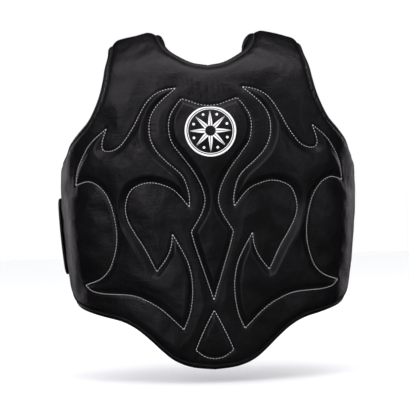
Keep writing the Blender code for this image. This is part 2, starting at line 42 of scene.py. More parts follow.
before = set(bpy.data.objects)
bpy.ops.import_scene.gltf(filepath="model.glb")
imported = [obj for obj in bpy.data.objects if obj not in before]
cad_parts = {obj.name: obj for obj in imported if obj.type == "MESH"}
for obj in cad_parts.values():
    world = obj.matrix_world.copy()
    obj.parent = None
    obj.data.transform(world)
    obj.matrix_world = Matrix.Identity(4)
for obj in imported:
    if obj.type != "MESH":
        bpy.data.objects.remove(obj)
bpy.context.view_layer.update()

# ---------------------------------------------------------------- the torso form, as in the frame
HALF_WIDTH, FRONT_DEPTH, BACK_DEPTH, SQUARENESS = 226.0, 150.0, 125.0, 2.35
WIDEST_Z, WAIST_TAPER = 281.0, 0.17
SHOULDER_SLOPE, NECK_HALF_WIDTH, NECK_ROUND = 0.23, 72.0, 25.0
SHOULDER_FROM, SHOULDER_RISE = 425.0, 75.0  # the shoulders' slope sets in from this height, over this much
PROFILE = [(-133, -16), (-138, 0), (-146, 50), (-150, 110), (-150, 200), (-150, 290), (-149, 345), (-141, 400),
           (-124, 440), (-98, 472), (-60, 497), (-14, 511), (26, 505), (51, 487), (65, 462), (73, 425)]
PLUMB_FROM, PLUMB_TO = 110, 290
CURVE_STEPS = 24  # samples between two points of a drawn curve
BACK_LINE = [(0, 125), (330, 125), (400, 116), (450, 100), (500, 76)]
REAR_DEPTH = 0.62  # how much of the section's depth the flaps keep behind the top
WING_END, FLAP_END_Z = 440.0, 470.0
NORMAL_STEP = 2.0


def smooth(t):
    t = np.clip(t, 0, 1)
    return t * t * (3 - 2 * t)


def hump(d, width):
    """1 where d is 0, fading to both sides."""
    return np.exp(-(d / width) ** 2)


def units(vectors):
    """The vectors at length 1."""
    return vectors / np.linalg.norm(vectors, axis=-1, keepdims=True)


def lengths(line):
    """How far along the line each of its points is."""
    return np.concatenate([[0], np.cumsum(np.linalg.norm(np.diff(line, axis=0), axis=1))])


def read_at(at, along, rows):
    """The rows that stand at lengths along, read at other lengths."""
    return np.stack([np.interp(at, along, column) for column in rows.T], axis=-1)


def spaced(line, step):
    """The same line with its points about step apart, and its ends kept."""
    along = lengths(line)
    return read_at(np.linspace(0, along[-1], max(2, round(along[-1] / step) + 1)), along, line)


def between(p, q, low, high, t):
    """From p, where t is low, to q, where t is high."""
    return (high - t) / (high - low) * p + (t - low) / (high - low) * q


def through(points, step):
    """A smooth open curve through the points, as points about step apart. The ends are kept."""
    points = np.array(points, float)
    along = np.concatenate([[0], np.cumsum(np.linalg.norm(np.diff(points, axis=0), axis=1) ** 0.5)])
    fenced = np.vstack([2 * points[0] - points[1], points, 2 * points[-1] - points[-2]])
    knots = np.concatenate([[2 * along[0] - along[1]], along, [2 * along[-1] - along[-2]]])
    fine = []
    for i in range(1, len(fenced) - 2):
        t = np.linspace(knots[i], knots[i + 1], CURVE_STEPS, endpoint=False)[:, None]
        k0, k1, k2, k3 = knots[i - 1:i + 3]
        p0, p1, p2, p3 = fenced[i - 1:i + 3]
        a1, a2, a3 = between(p0, p1, k0, k1, t), between(p1, p2, k1, k2, t), between(p2, p3, k2, k3, t)
        b1, b2 = between(a1, a2, k0, k2, t), between(a2, a3, k1, k3, t)
        fine.append(between(b1, b2, k1, k2, t))
    return spaced(np.vstack([*fine, points[-1:]]), step)


def section_table():
    """Half of the section round the torso, from the front centre line: lengths, x and y."""
    turn = np.linspace(0, math.pi, 2881)
    power = 2 / SQUARENESS
    x = HALF_WIDTH * np.abs(np.sin(turn)) ** power
    depth = np.where(turn <= math.pi / 2, FRONT_DEPTH, BACK_DEPTH)
    y = -np.sign(np.cos(turn)) * depth * np.abs(np.cos(turn)) ** power
    u = np.concatenate([[0], np.cumsum(np.hypot(np.diff(x), np.diff(y)))])
    return u, x, y


def profile_table():
    """The centre line up the front and over the top: lengths, y and z."""
    line = through(PROFILE, 1.0)
    plumb = (line[:, 1] > PLUMB_FROM) & (line[:, 1] < PLUMB_TO)
    line[plumb, 0] = -FRONT_DEPTH
    return lengths(line), line[:, 0], line[:, 1]


SECTION_U, SECTION_X, SECTION_Y = section_table()
PROFILE_V, PROFILE_Y, PROFILE_Z = profile_table()
SIDE, TOP = int(SECTION_X.argmax()), int(PROFILE_Z.argmax())
U_BACK, V_TOP = float(SECTION_U[-1]), float(PROFILE_V[TOP])


def waist(z):
    return 1 - WAIST_TAPER * (np.clip(WIDEST_Z - z, 0, None) / WIDEST_Z) ** 2


def drop(x):
    return SHOULDER_SLOPE * (np.sqrt(x * x + NECK_ROUND ** 2) - NECK_HALF_WIDTH)


def shoulder_share(z, v):
    return np.where(v > V_TOP, 1.0, smooth((z - SHOULDER_FROM) / SHOULDER_RISE))


def form(u, v):
    """The points of the form's surface at flat points, an array of (x, y, z)."""
    u, v = np.asarray(u, float), np.asarray(v, float)
    round_back = np.abs(u) > U_BACK
    around = np.where(round_back, 2 * U_BACK - np.abs(u), np.abs(u))
    side = np.sign(u) * np.where(round_back, -1, 1)
    front_y, z = np.interp(v, PROFILE_V, PROFILE_Y), np.interp(v, PROFILE_V, PROFILE_Z)
    x = side * np.interp(around, SECTION_U, SECTION_X) * waist(z)
    back_y = np.interp(z, *np.transpose(BACK_LINE))
    deep = np.where(v > V_TOP, REAR_DEPTH, (back_y - np.minimum(front_y, 0)) / (FRONT_DEPTH + BACK_DEPTH))
    y = front_y + (np.interp(around, SECTION_U, SECTION_Y) + FRONT_DEPTH) * deep
    return np.stack([x, y, z - shoulder_share(z, v) * drop(x)], axis=-1)


def lifted(u, v, lift):
    """The form's points moved along its outward normal by lift."""
    u, v = np.asarray(u, float), np.asarray(v, float)
    across = form(u + NORMAL_STEP, v) - form(u - NORMAL_STEP, v)
    up = form(u, v + NORMAL_STEP) - form(u, v - NORMAL_STEP)
    return form(u, v) + units(np.cross(across, up)) * np.broadcast_to(lift, u.shape)[..., None]


def laid(u, v, lift):
    """The lifted points, and the way out from the form at each."""
    points = lifted(u, v, lift)
    return points, lifted(u, v, lift + 1) - points


def height_to_v(x, z, rear):
    branch = slice(TOP, None) if rear else slice(0, TOP + 1)
    v, profile_z = PROFILE_V[branch], PROFILE_Z[branch]
    height = profile_z - shoulder_share(profile_z, v) * drop(np.asarray(x, float))
    return float(np.interp(z, height[::-1], v[::-1]) if rear else np.interp(z, height, v))


def front(x, z):
    """The flat point that is seen at (x, z) from the front."""
    width = float(waist(z))
    u = math.copysign(np.interp(abs(x) / width, SECTION_X[:SIDE + 1], SECTION_U[:SIDE + 1]), x)
    return u, height_to_v(x, z, rear=False)


def over_shoulder(x, z):
    return front(x, z)[0], height_to_v(x, z, rear=True)


def wing(u, z):
    return u, height_to_v(0.0, z, rear=False)


def across_back(x, z):
    """A flat point on the back, whose u keeps counting past the back centre line as x goes from + to -."""
    u = float(np.interp(-abs(x) / float(waist(z)), -SECTION_X[SIDE:], SECTION_U[SIDE:]))
    return (u if x >= 0 else 2 * U_BACK - u), height_to_v(0.0, z, rear=False)


# ---------------------------------------------------------------- the flat pattern, as in the frame: (x, z)
HEM = [(0, 0), (30, 3.5), (47, 8.5), (62, 16), (78, 29), (98, 47.5), (117, 62.5), (138, 73), (168, 80), (200, 88)]
ARMHOLE = [(221, 321), (213, 338), (199, 354), (183, 371), (168, 400), (159, 430), (154, 459), (150, 478)]
NECK = [(71, 505), (66, 490), (58, 479), (44, 468), (24, 457), (0, 452)]

# Each run of a quilting line, and how high and how wide the padding's wall is behind it.
FLAME_RUNS = [
    ([(49, 416), (66, 413), (82, 406), (94, 394), (116, 355), (125, 342), (136, 330), (149, 325), (159, 327),
      (161, 335), (154, 359)], 5.5, 12.0),
    ([(154, 359), (179, 337), (191, 318), (199, 300), (202, 276)], 4.5, 13.0),
    ([(202, 276), (183, 281), (172, 277), (161, 267), (152, 252), (143, 218), (142, 190), (147, 166), (155, 148),
      (167, 136), (191, 126)], 5.0, 13.0),
    ([(191, 126), (182, 118), (165, 114), (141, 113), (119, 111), (98, 103), (78, 91), (45, 60)], 5.0, 13.0),
    ([(45, 60), (36, 82), (31, 115), (33, 143), (39, 164), (59, 201)], 9.0, 9.0),
    ([(59, 201), (61, 184), (67, 168), (83, 146)], 7.0, 9.0),
    ([(83, 146), (100, 180), (113, 201), (125, 224), (127, 246), (119, 266), (106, 274), (89, 277), (71, 273),
      (55, 265), (33, 240)], 10.5, 11.0),
    ([(33, 240), (33, 257), (39, 279), (46, 290), (65, 307), (79, 322), (88, 340), (90, 358), (87, 375), (77, 391),
      (49, 416)], 10.5, 11.0),
]
SHIELD_RUNS = [
    ([(0, 389), (15, 391), (29, 396), (41, 400)], 6.0, 9.0),
    ([(41, 400), (50, 389), (59, 373), (61, 356), (57, 336), (44, 317), (27, 294), (14, 269), (10, 250), (14, 233),
      (31, 204)], 10.0, 10.0),
    ([(31, 204), (26, 184), (17, 156), (0, 103)], 8.0, 10.0),
]
DROP_RUNS = [([(0, 88), (15, 59), (28, 29)], 4.0, 8.0), ([(28, 29), (14, 19), (0, 16)], 3.0, 8.0)]


def half_outline(step):
    """The panel's edge on the +X side: hem, wing, armhole, shoulder flap and neck."""
    wing_hem = [wing(300, 94), wing(350, 98), wing(395, 106), wing(424, 118), wing(WING_END - 3, 142)]
    wing_rear = [wing(WING_END, 180), wing(WING_END, 290), wing(WING_END - 5, 314), wing(WING_END - 25, 326)]
    wing_top = [wing(385, 321), wing(340, 312)]
    shoulder_side = [(front(149, 480)[0], V_TOP - 12), over_shoulder(147, 485), over_shoulder(141, 472)]
    flap_end = [over_shoulder(130, FLAP_END_Z - 4), over_shoulder(78, FLAP_END_Z), over_shoulder(66, 477)]
    neck_side = [over_shoulder(64, 495), (front(70, 500)[0], V_TOP + 2)]
    edge = [front(*p) for p in HEM] + wing_hem + wing_rear + wing_top + [front(*p) for p in ARMHOLE]
    edge += shoulder_side + flap_end + neck_side + [front(*p) for p in NECK]
    return through(edge, step)


def run_lines(runs):
    """The flat lines of a quilting line's runs, one array each."""
    return [through([front(*p) for p in points], SAMPLE) for points, _, _ in runs]


def mirrored_loop(half):
    """A closed outline from its +X half, whose two ends are on the centre line."""
    return np.vstack([half, (half * [-1, 1])[-2:0:-1]])


# ---------------------------------------------------------------- flat geometry
CHUNK = 4000  # how many points are compared with an outline at once


def inside(points, loop):
    """Which flat points are inside a closed outline."""
    a, b = loop, np.roll(loop, -1, axis=0)
    rise = np.where(b[:, 1] == a[:, 1], 1e-9, b[:, 1] - a[:, 1])
    slope = (b[:, 0] - a[:, 0]) / rise
    found = []
    for chunk in np.array_split(np.asarray(points, float), max(1, len(points) // CHUNK)):
        x, y = chunk[:, :1], chunk[:, 1:]
        crosses = ((a[:, 1] > y) != (b[:, 1] > y)) & (x < slope * (y - a[:, 1]) + a[:, 0])
        found.append(crosses.sum(axis=1) % 2 == 1)
    return np.concatenate(found)


def nearest(points, samples):
    """The distance from each flat point to the nearest sample, and that sample's number."""
    tree = kdtree.KDTree(len(samples))
    for i, (x, y) in enumerate(samples):
        tree.insert((x, y, 0.0), i)
    tree.balance()
    found = [tree.find((x, y, 0.0)) for x, y in points]
    return np.array([f[2] for f in found]), np.array([f[1] for f in found])


def ripple(u, v, wavelength, seed, waves=14):
    """Smooth random waves of about that wavelength, from about -1 to 1."""
    draw = np.random.default_rng(seed)
    total = np.zeros(np.shape(u))
    for _ in range(waves):
        turn, phase = draw.uniform(0, math.tau, 2)
        number = math.tau / (wavelength * draw.uniform(0.75, 1.35))
        total += np.cos(number * (np.cos(turn) * u + np.sin(turn) * v) + phase)
    return total / math.sqrt(waves)


def bump_at(u, v, x, z, wide, tall):
    """1 at the flat point seen at (x, z), fading over an ellipse of those half axes."""
    centre = front(x, z)
    return np.exp(-((u - centre[0]) / wide) ** 2 - ((v - centre[1]) / tall) ** 2)


def grid_quads(grid):
    """What stands at the four corners of each cell of a grid."""
    return np.stack([grid[:-1, :-1], grid[1:, :-1], grid[1:, 1:], grid[:-1, 1:]], axis=-1)


# ---------------------------------------------------------------- the quilted surface
SAMPLE = 0.8
OUTLINE_STEP = 2.5
EDGE_HALF = half_outline(SAMPLE)
OUTLINE = mirrored_loop(half_outline(OUTLINE_STEP))
FLAME, SHIELD, DROP = (run_lines(runs) for runs in (FLAME_RUNS, SHIELD_RUNS, DROP_RUNS))
# Each kind of pad: its runs, their lines, and its closed outline.
PADS = [(FLAME_RUNS, FLAME, np.vstack([line[:-1] for line in FLAME])),
        (SHIELD_RUNS, SHIELD, mirrored_loop(np.vstack(SHIELD))),
        (DROP_RUNS, DROP, mirrored_loop(np.vstack(DROP)))]

FIELD_LIFT = -1.0
EDGE_FALL = 4.6  # how far the leather comes down to the binding
LIP = 6.0  # how far the binding reaches over the leather
RIM_ROUND = 14.0
SIDE_SETBACK, SIDE_FROM, SIDE_OVER = 3.4, 215.0, 55.0  # the padding is stretched thinner round the sides
GROOVE_DEPTH, GROOVE_WIDTH = 1.9, 2.0
FIELD_CROWN, FIELD_CROWN_REACH = 4.4, 28.0
PAD_CROWN, PAD_CROWN_REACH = 1.6, 26.0
WALL_POWER = 1.15
RUN_REACH, RUN_POWER = 1.5, 2.5  # how the walls of neighbouring runs pass into each other
RUN_GAP = 31.0  # what is added to the length along the seam from one run to the next
PUCKER, PUCKER_START, PUCKER_REACH, PUCKER_LENGTH = 0.38, 2.2, 8.0, 8.5
UNEVENNESS = [(0.55, 95, 1), (0.25, 34, 2), (0.09, 13, 3)]  # height, wavelength and seed
CHEST_SWELL, NECK_DIP, NECK_CREASE = 3.6, 1.8, 0.35
CHEST, BELOW_NECK = (72, 436, 38, 34), (0, 420, 42, 20)
EDGE_CREASE, EDGE_CREASE_LENGTH, EDGE_CREASE_REACH = 0.45, 13.0, 6.0


def from_edge(u, v):
    """How far flat points are from the panel's edge, and the number of the nearest sample of it."""
    return nearest(np.stack([np.abs(u), v], axis=-1), EDGE_HALF)


def rim(d, fall):
    """How far the padded panel has thinned at distance d from its edge."""
    t = np.clip((d - LIP) / RIM_ROUND, 0, 1)
    puff = 1 - np.sqrt(1 - (1 - t) ** 2)
    return -fall * puff - 0.12 * np.clip(LIP - d, 0, None)


def pad_height(points, runs, lines):
    """How high the pad's wall is and how wide, how far the nearest seam is, and where along it."""
    distances = []
    seam = np.full(len(points), 1e9)
    along = np.zeros(len(points))
    start = 0.0
    for line in lines:
        d, index = nearest(points, line)
        along = np.where(d < seam, start + index * SAMPLE, along)
        seam = np.minimum(seam, d)
        distances.append(d)
        start += len(line) * SAMPLE + RUN_GAP
    weight = np.array([1 / (d + RUN_REACH) ** RUN_POWER for d in distances])
    weight /= weight.sum(axis=0)
    tall, wide = (sum(w * run[k] for w, run in zip(weight, runs)) for k in (1, 2))
    return tall, wide, seam, along


def relief(u, v):
    """The leather's lift before the binding turns its edge down, and how far the nearest seam is."""
    points = np.stack([np.abs(u), v], axis=-1)
    total = np.zeros(len(points))
    seam = np.full(len(points), 1e9)
    along = np.zeros(len(points))
    held = np.zeros(len(points), bool)
    for runs, lines, loop in PADS:
        tall, wide, d, s = pad_height(points, runs, lines)
        within = inside(points, loop)
        height = tall * smooth(d / wide) ** WALL_POWER
        height += PAD_CROWN * (1 - hump(d, PAD_CROWN_REACH))
        total = np.where(within, height, total)
        held |= within
        along = np.where(d < seam, s, along)
        seam = np.minimum(seam, d)
    total = np.where(held, total, FIELD_CROWN * (1 - hump(seam, FIELD_CROWN_REACH)))
    total -= GROOVE_DEPTH * hump(seam, GROOVE_WIDTH)
    phase = 2.2 * ripple(u, v, 60, 5)
    pucker = np.cos(math.tau * along / PUCKER_LENGTH + phase) * (0.55 + 0.45 * ripple(u, v, 40, 6))
    fade = np.exp(-seam / PUCKER_REACH) * (1 - hump(seam, PUCKER_START))
    total += PUCKER * pucker * fade
    total += sum(height * ripple(u, v, wavelength, seed) for height, wavelength, seed in UNEVENNESS)
    chest = bump_at(u, v, *CHEST) + bump_at(-u, v, *CHEST)
    below_neck = bump_at(u, v, *BELOW_NECK)
    crease = np.cos(math.tau * (u + 3 * np.cos(v / 19)) / 8.5 + 1.5 * ripple(u, v, 45, 12))
    total += CHEST_SWELL * chest - NECK_DIP * below_neck + NECK_CREASE * below_neck * crease
    return FIELD_LIFT + total, seam


def leather_lift(u, v):
    """The leather's lift at flat points."""
    u, v = np.asarray(u, float), np.asarray(v, float)
    lift, _ = relief(u, v)
    d, index = from_edge(u, v)
    lift = lift - SIDE_SETBACK * smooth((np.abs(u) - SIDE_FROM) / SIDE_OVER)
    creases = np.cos(math.tau * index * SAMPLE / EDGE_CREASE_LENGTH + 2.5 * ripple(u, v, 50, 8))
    creases *= 0.5 + 0.5 * ripple(u, v, 35, 9)
    creases *= EDGE_CREASE * hump(d - LIP - 5, EDGE_CREASE_REACH)
    return lift * smooth(d / (LIP + RIM_ROUND)) + rim(d, EDGE_FALL) + creases


# ---------------------------------------------------------------- where other pieces press the leather flat
BELT_LOW, BELT_HIGH = wing(0, 140.0)[1], wing(0, 258.0)[1]
BELT_UNDER, BELT_OVER = 4.6, 7.6
WEB_REACH, WEB_TURN = 10.0, 2.4  # how far the elastic goes on inside its neighbour, and half the length that bends
ANCHOR_START, BELT_HINGE, TAB_HINGE, TAB_END = 352.0, 400.0, 425.0, 316.0
LOOP_PANEL_START, LOOP_PANEL_END = -428.0, -322.0
STRAP_WIDTH, STRAP_SKIN = 50.0, 4.0
STRAP_TOP = [(104, 48.5, 450), (102, 57, 435), (88, 84, 412), (50, 109, 390), (0, 119, 371)]
STRAP_LOW = [(-62, 343, 0), (-118, 321, 3.5), (-158, 307, 5.5), (-186, 299, 5)]
STRAP_TOP_NORMALS = [(0, 0.88, 0.48), (0.1, 0.85, 0.52), (0.25, 0.82, 0.5), (0.12, 0.93, 0.35), (0, 0.96, 0.27)]
CROSSING_RISE, CROSSING_REACH = 6.5, 115.0
CROSS_PATCH, PATCH_LIFT, PATCH_SKIN = 52.0, 0.8, 1.8
PRESSED_LIFT, PRESSED_FADE = -0.3, 12.0
STRAP_STEP = 15.0
STRAP_ROOT, STRAP_ROOT_LEAN = 15.0, 0.35  # how far each strap runs on into its flap, and how it leans to the foam


def strap_line():
    """The middle of a strap's inner face and the way out from the body, for the strap of the wearer's left."""
    low = np.array([across_back(x, z) for x, z, _ in STRAP_LOW])
    points, normals = laid(*low.T, np.array([lift for *_, lift in STRAP_LOW]))
    route = np.hstack([np.vstack([STRAP_TOP, points]), np.vstack([STRAP_TOP_NORMALS, normals])])
    return through(route, STRAP_STEP), low[-2:] + np.array([[-26.0, 3.0], [0.0, 0.0]])


STRAP_ROUTE, STRAP_TAIL = strap_line()


def box_distance(u, v, low, high):
    """How far flat points are outside a flat box."""
    du = np.maximum(np.maximum(low[0] - u, u - high[0]), 0)
    dv = np.maximum(np.maximum(low[1] - v, v - high[1]), 0)
    return np.hypot(du, dv)


def pressed(u, v):
    """1 where a patch lies on the leather, 0 well away from it."""
    near = np.minimum(box_distance(u, v, (ANCHOR_START, BELT_LOW), (BELT_HINGE, BELT_HIGH)),
                      box_distance(u, v, (LOOP_PANEL_START, BELT_LOW), (LOOP_PANEL_END, BELT_HIGH)))
    for tail in (STRAP_TAIL, STRAP_TAIL * [-1, 1] + [2 * U_BACK, 0]):
        for shift in (0.0, -2 * U_BACK):
            start, end = tail + [shift, 0]
            length = np.linalg.norm(end - start)
            along = (end - start) / length
            reach = np.clip((u - start[0]) * along[0] + (v - start[1]) * along[1], 0, length)
            gap = np.hypot(u - start[0] - reach * along[0], v - start[1] - reach * along[1])
            near = np.minimum(near, np.clip(gap - STRAP_WIDTH / 2, 0, None))
    return 1 - smooth(near / PRESSED_FADE)


# ---------------------------------------------------------------- the padding's swell, from a cloth simulation
CLOTH_STEP, CLOTH_MARGIN = 5.0, 2.0
CLOTH_CAP = 2.5
CLOTH_FRAMES = 20
GRID_HALF_WIDTH = 446
HELD_SEAM, HELD_SEAM_FADE, HELD_EDGE_FADE = 2.0, 6.0, 7.0  # where seams and the binding hold the cloth back


def flat_grid(step, margin):
    """Grid points inside the outline, at least margin from it, as flat points and quads."""
    count = round(GRID_HALF_WIDTH / step)
    us = np.arange(-count, count + 1) * step
    vs = np.arange(-2, (PROFILE_V[-1] + 10) / step + 1) * step
    uu, vv = np.meshgrid(us, vs, indexing="ij")
    points = np.stack([uu.ravel(), vv.ravel()], axis=-1)
    keep = inside(points, OUTLINE)
    keep[keep] = from_edge(*points[keep].T)[0] > margin
    cell = grid_quads(keep.reshape(uu.shape)).all(axis=-1)
    quads = grid_quads(np.arange(uu.size).reshape(uu.shape))[cell]
    used, quads = np.unique(quads, return_inverse=True)
    return points[used], quads.reshape(-1, 4), (us, vs, used)


def in_scene(name, data):
    made = bpy.data.objects.new(name, data)
    bpy.context.scene.collection.objects.link(made)
    return made


def inflated(start, quads, held):
    """Where a sheet's points are, in millimetres, once pressure has pushed it out where it isn't held."""
    mesh = bpy.data.meshes.new("swell")
    mesh.from_pydata((start * MM).tolist(), [], quads.tolist())
    sheet = in_scene("swell", mesh)
    group = sheet.vertex_groups.new(name="held")
    for i, weight in enumerate(held):
        if weight > 0.01:
            group.add([i], float(weight), "REPLACE")
    cloth = sheet.modifiers.new("cloth", "CLOTH")
    settings = cloth.settings
    settings.quality = 6
    settings.mass = 0.4
    settings.tension_stiffness = settings.compression_stiffness = 60
    settings.shear_stiffness = 30
    settings.bending_stiffness = 12
    settings.use_pressure = True
    settings.uniform_pressure_force = 4.0
    settings.shrink_min = -0.006
    settings.vertex_group_mass = "held"
    settings.effector_weights.gravity = 0.0
    settings.pin_stiffness = 2.0
    cloth.collision_settings.use_collision = False
    cloth.point_cache.frame_start, cloth.point_cache.frame_end = 1, CLOTH_FRAMES
    for number in range(1, CLOTH_FRAMES + 1):
        bpy.context.scene.frame_set(number)
    ready = sheet.evaluated_get(bpy.context.evaluated_depsgraph_get()).to_mesh()
    moved = np.array([p.co for p in ready.vertices]) / MM
    bpy.data.objects.remove(sheet)
    bpy.data.meshes.remove(mesh)
    bpy.context.scene.frame_set(1)
    return moved


def simulated_swell():
    """How far each point of a flat grid moves outward when the padding under the leather pushes it."""
    points, quads, (us, vs, used) = flat_grid(CLOTH_STEP, CLOTH_MARGIN)
    u, v = points.T
    lift, seam = relief(u, v)
    edge, _ = from_edge(u, v)
    start, normal = laid(u, v, lift * smooth(edge / (LIP + RIM_ROUND)) + rim(edge, EDGE_FALL))
    by_seam = np.clip(1 - (seam - HELD_SEAM) / HELD_SEAM_FADE, 0, 1)
    by_edge = np.clip(1 - (edge - LIP) / HELD_EDGE_FADE, 0, 1)
    held = np.maximum.reduce([by_seam, by_edge, pressed(u, v)])
    outward = ((inflated(start, quads, held) - start) * normal).sum(axis=1)
    table = np.zeros(len(us) * len(vs))
    table[used] = CLOTH_CAP * np.tanh(outward / CLOTH_CAP)
    table = table.reshape(len(us), len(vs))
    for _ in range(2):
        for axis in (0, 1):
            table = (np.roll(table, 1, axis) + 2 * table + np.roll(table, -1, axis)) / 4
    return us, vs, table


SWELL = simulated_swell()


def swell(u, v):
    """The simulated swell at flat points, smoothly between the grid's own points."""
    if SWELL is None:
        return np.zeros(np.shape(u))
    us, vs, table = SWELL
    a = np.clip((u - us[0]) / CLOTH_STEP, 0, len(us) - 1.001)
    b = np.clip((v - vs[0]) / CLOTH_STEP, 0, len(vs) - 1.001)
    i, j = a.astype(int), b.astype(int)
    s, t = smooth(a - i), smooth(b - j)
    low = table[i, j] * (1 - s) + table[i + 1, j] * s
    high = table[i, j + 1] * (1 - s) + table[i + 1, j + 1] * s
    return low * (1 - t) + high * t


def cover_lift(u, v):
    """The finished leather's lift: relief, swell, rim, and flat where a patch lies on it."""
    lift = leather_lift(u, v) + swell(u, v)
    share = pressed(np.asarray(u, float), np.asarray(v, float))
    return lift * (1 - share) + np.minimum(lift, PRESSED_LIFT) * share


# ---------------------------------------------------------------- materials
class Nodes:
    """A short way to write a material's nodes. Sizes and distances are in metres."""

    def __init__(self, name, base, roughness):
        self.material = bpy.data.materials.new(name)
        self.material.use_nodes = True
        self.tree = self.material.node_tree
        self.shader = self.tree.nodes["Principled BSDF"]
        self.shader.inputs["Base Color"].default_value = (*base, 1)
        self.shader.inputs["Roughness"].default_value = roughness
        self.place = self.tree.nodes.new("ShaderNodeTexCoord").outputs["Object"]

    def put(self, **values):
        for name, value in values.items():
            self.shader.inputs[name.replace("_", " ")].default_value = value

    def node(self, kind, settings=None, **inputs):
        made = self.tree.nodes.new("ShaderNode" + kind)
        for name, value in (settings or {}).items():
            setattr(made, name, value)
        for name, value in inputs.items():
            socket = made.inputs[int(name[1:])] if name[0] == "_" else made.inputs[name.replace("_", " ")]
            if isinstance(value, bpy.types.NodeSocket):
                self.tree.links.new(value, socket)
            else:
                socket.default_value = value
        return made

    def noise(self, size, detail=3.0, place=None, rough=0.55):
        made = self.node("TexNoise", Vector=place or self.place, Scale=1 / size, Detail=detail, Roughness=rough)
        return made.outputs["Fac"]

    def cells(self, size, feature="F1", random=1.0):
        made = self.node("TexVoronoi", {"feature": feature}, Vector=self.place, Scale=1 / size, Randomness=random)
        return made.outputs["Distance"]

    def bands(self, size, direction, place=None, distortion=0.0):
        made = self.node("TexWave", {"wave_type": "BANDS", "bands_direction": direction},
                         Vector=place or self.place, Scale=0.31416 / size, Distortion=distortion, Detail=1.0)
        return made.outputs["Fac"]

    def mapped(self, **inputs):
        return self.node("Mapping", Vector=self.place, **inputs).outputs["Vector"]

    def math(self, operation, a, b):
        return self.node("Math", {"operation": operation}, _0=a, _1=b).outputs[0]

    def mixed(self, *parts):
        """The sum of (value, weight) parts."""
        total = self.math("MULTIPLY", *parts[0])
        for value, weight in parts[1:]:
            total = self.math("ADD", total, self.math("MULTIPLY", value, weight))
        return total

    def spread(self, value, low, high, to_low=0.0, to_high=1.0):
        made = self.node("MapRange", Value=value, From_Min=low, From_Max=high, To_Min=to_low, To_Max=to_high)
        return made.outputs["Result"]

    def cloudy(self, noise, low, high):
        """A noise's usual range, spread from low to high."""
        return self.spread(noise, 0.3, 0.7, low, high)

    def colours(self, value, stops):
        ramp = self.node("ValToRGB", Fac=value)
        while len(ramp.color_ramp.elements) < len(stops):
            ramp.color_ramp.elements.new(0.5)
        for element, (at, colour) in zip(ramp.color_ramp.elements, stops):
            element.position = at
            element.color = (*colour, 1)
        self.tree.links.new(ramp.outputs["Color"], self.shader.inputs["Base Color"])

    def rough(self, value):
        self.tree.links.new(value, self.shader.inputs["Roughness"])

    def bump(self, *layers):
        """Layers of (height, distance, strength), each on top of the last."""
        normal = None
        for height, distance, strength in layers:
            made = self.node("Bump", Height=height, Distance=distance, Strength=strength)
            if normal:
                self.tree.links.new(normal, made.inputs["Normal"])
            normal = made.outputs["Normal"]
        self.tree.links.new(normal, self.shader.inputs["Normal"])


def shades(tone, *stops):
    """Colour stops from (place, how many times the tone) pairs."""
    return [(at, tuple(c * times for c in tone)) for at, times in stops]


def leather_material(name, tone, gloss):
    """Finished black hide: fine pebbled grain, faint creases, dull and shiny patches, and paler worn edges."""
    made = Nodes(name, tone, gloss)
    grain = made.cells(0.0013)
    fine = made.noise(0.0006, 4.0)
    crease = made.spread(made.cells(0.0045, "DISTANCE_TO_EDGE", 0.9), 0.0, 0.09)
    wrinkle = made.noise(0.0042, 3.0, made.mapped(Scale=(0.16, 0.3, 1.0)), 0.6)
    pebble, swell = made.noise(0.0021), made.noise(0.011)
    patches = made.noise(0.055)
    worn = made.spread(made.node("NewGeometry").outputs["Pointiness"], 0.5, 0.62)
    mottle = made.mixed((patches, 0.7), (fine, 0.2), (worn, 0.35))
    made.colours(mottle, shades(tone, (0.25, 0.72), (0.55, 1.0), (0.95, 2.1)))
    made.rough(made.math("ADD", made.cloudy(patches, gloss - 0.05, gloss + 0.06), made.math("MULTIPLY", grain, 0.07)))
    made.bump((grain, 0.00012, 0.55), (crease, 0.00008, 0.5), (fine, 0.00006, 0.6), (wrinkle, 0.0010, 0.40),
              (pebble, 0.0007, 0.9), (swell, 0.0008, 0.24))
    made.put(Specular_IOR_Level=0.46, Coat_Weight=0.1, Coat_Roughness=0.3)
    return made.material


def thread_material(name, tone, shine):
    """Twisted sewing thread: slanted plies, a little lint and a soft sheen."""
    made = Nodes(name, tone, 0.6)
    plies = made.bands(0.0005, "Z", made.mapped(Rotation=(0.6, 0.7, 0.3)), 0.5)
    lint = made.noise(0.004)
    made.colours(made.mixed((plies, 0.5), (lint, 0.5)), shades(tone, (0.15, 0.72), (0.6, 1.0)))
    made.rough(made.cloudy(lint, 0.5, 0.75))
    made.bump((plies, 0.00012, 0.8))
    made.put(Sheen_Weight=shine, Sheen_Roughness=0.5)
    return made.material


def woven_material(name, tone, pitch, along, sheen):
    """Woven cloth: threads over and under in two directions, slubs and faint shading."""
    made = Nodes(name, tone, 0.8)
    warp, weft = (made.bands(pitch, direction) for direction in along)
    weave = made.math("MAXIMUM", made.math("MULTIPLY", warp, made.spread(weft, 0.0, 1.0, 0.55, 1.0)),
                      made.math("MULTIPLY", weft, made.spread(warp, 0.0, 1.0, 0.75, 0.4)))
    slubs = made.noise(0.02, 4.0)
    made.colours(made.mixed((weave, 0.45), (slubs, 0.5)), shades(tone, (0.1, 0.5), (0.5, 1.0), (0.95, 1.7)))
    made.rough(made.cloudy(slubs, 0.72, 0.92))
    made.bump((weave, 0.0002, 0.7), (slubs, 0.0006, 0.3))
    made.put(Sheen_Weight=sheen, Sheen_Roughness=0.45)
    return made.material


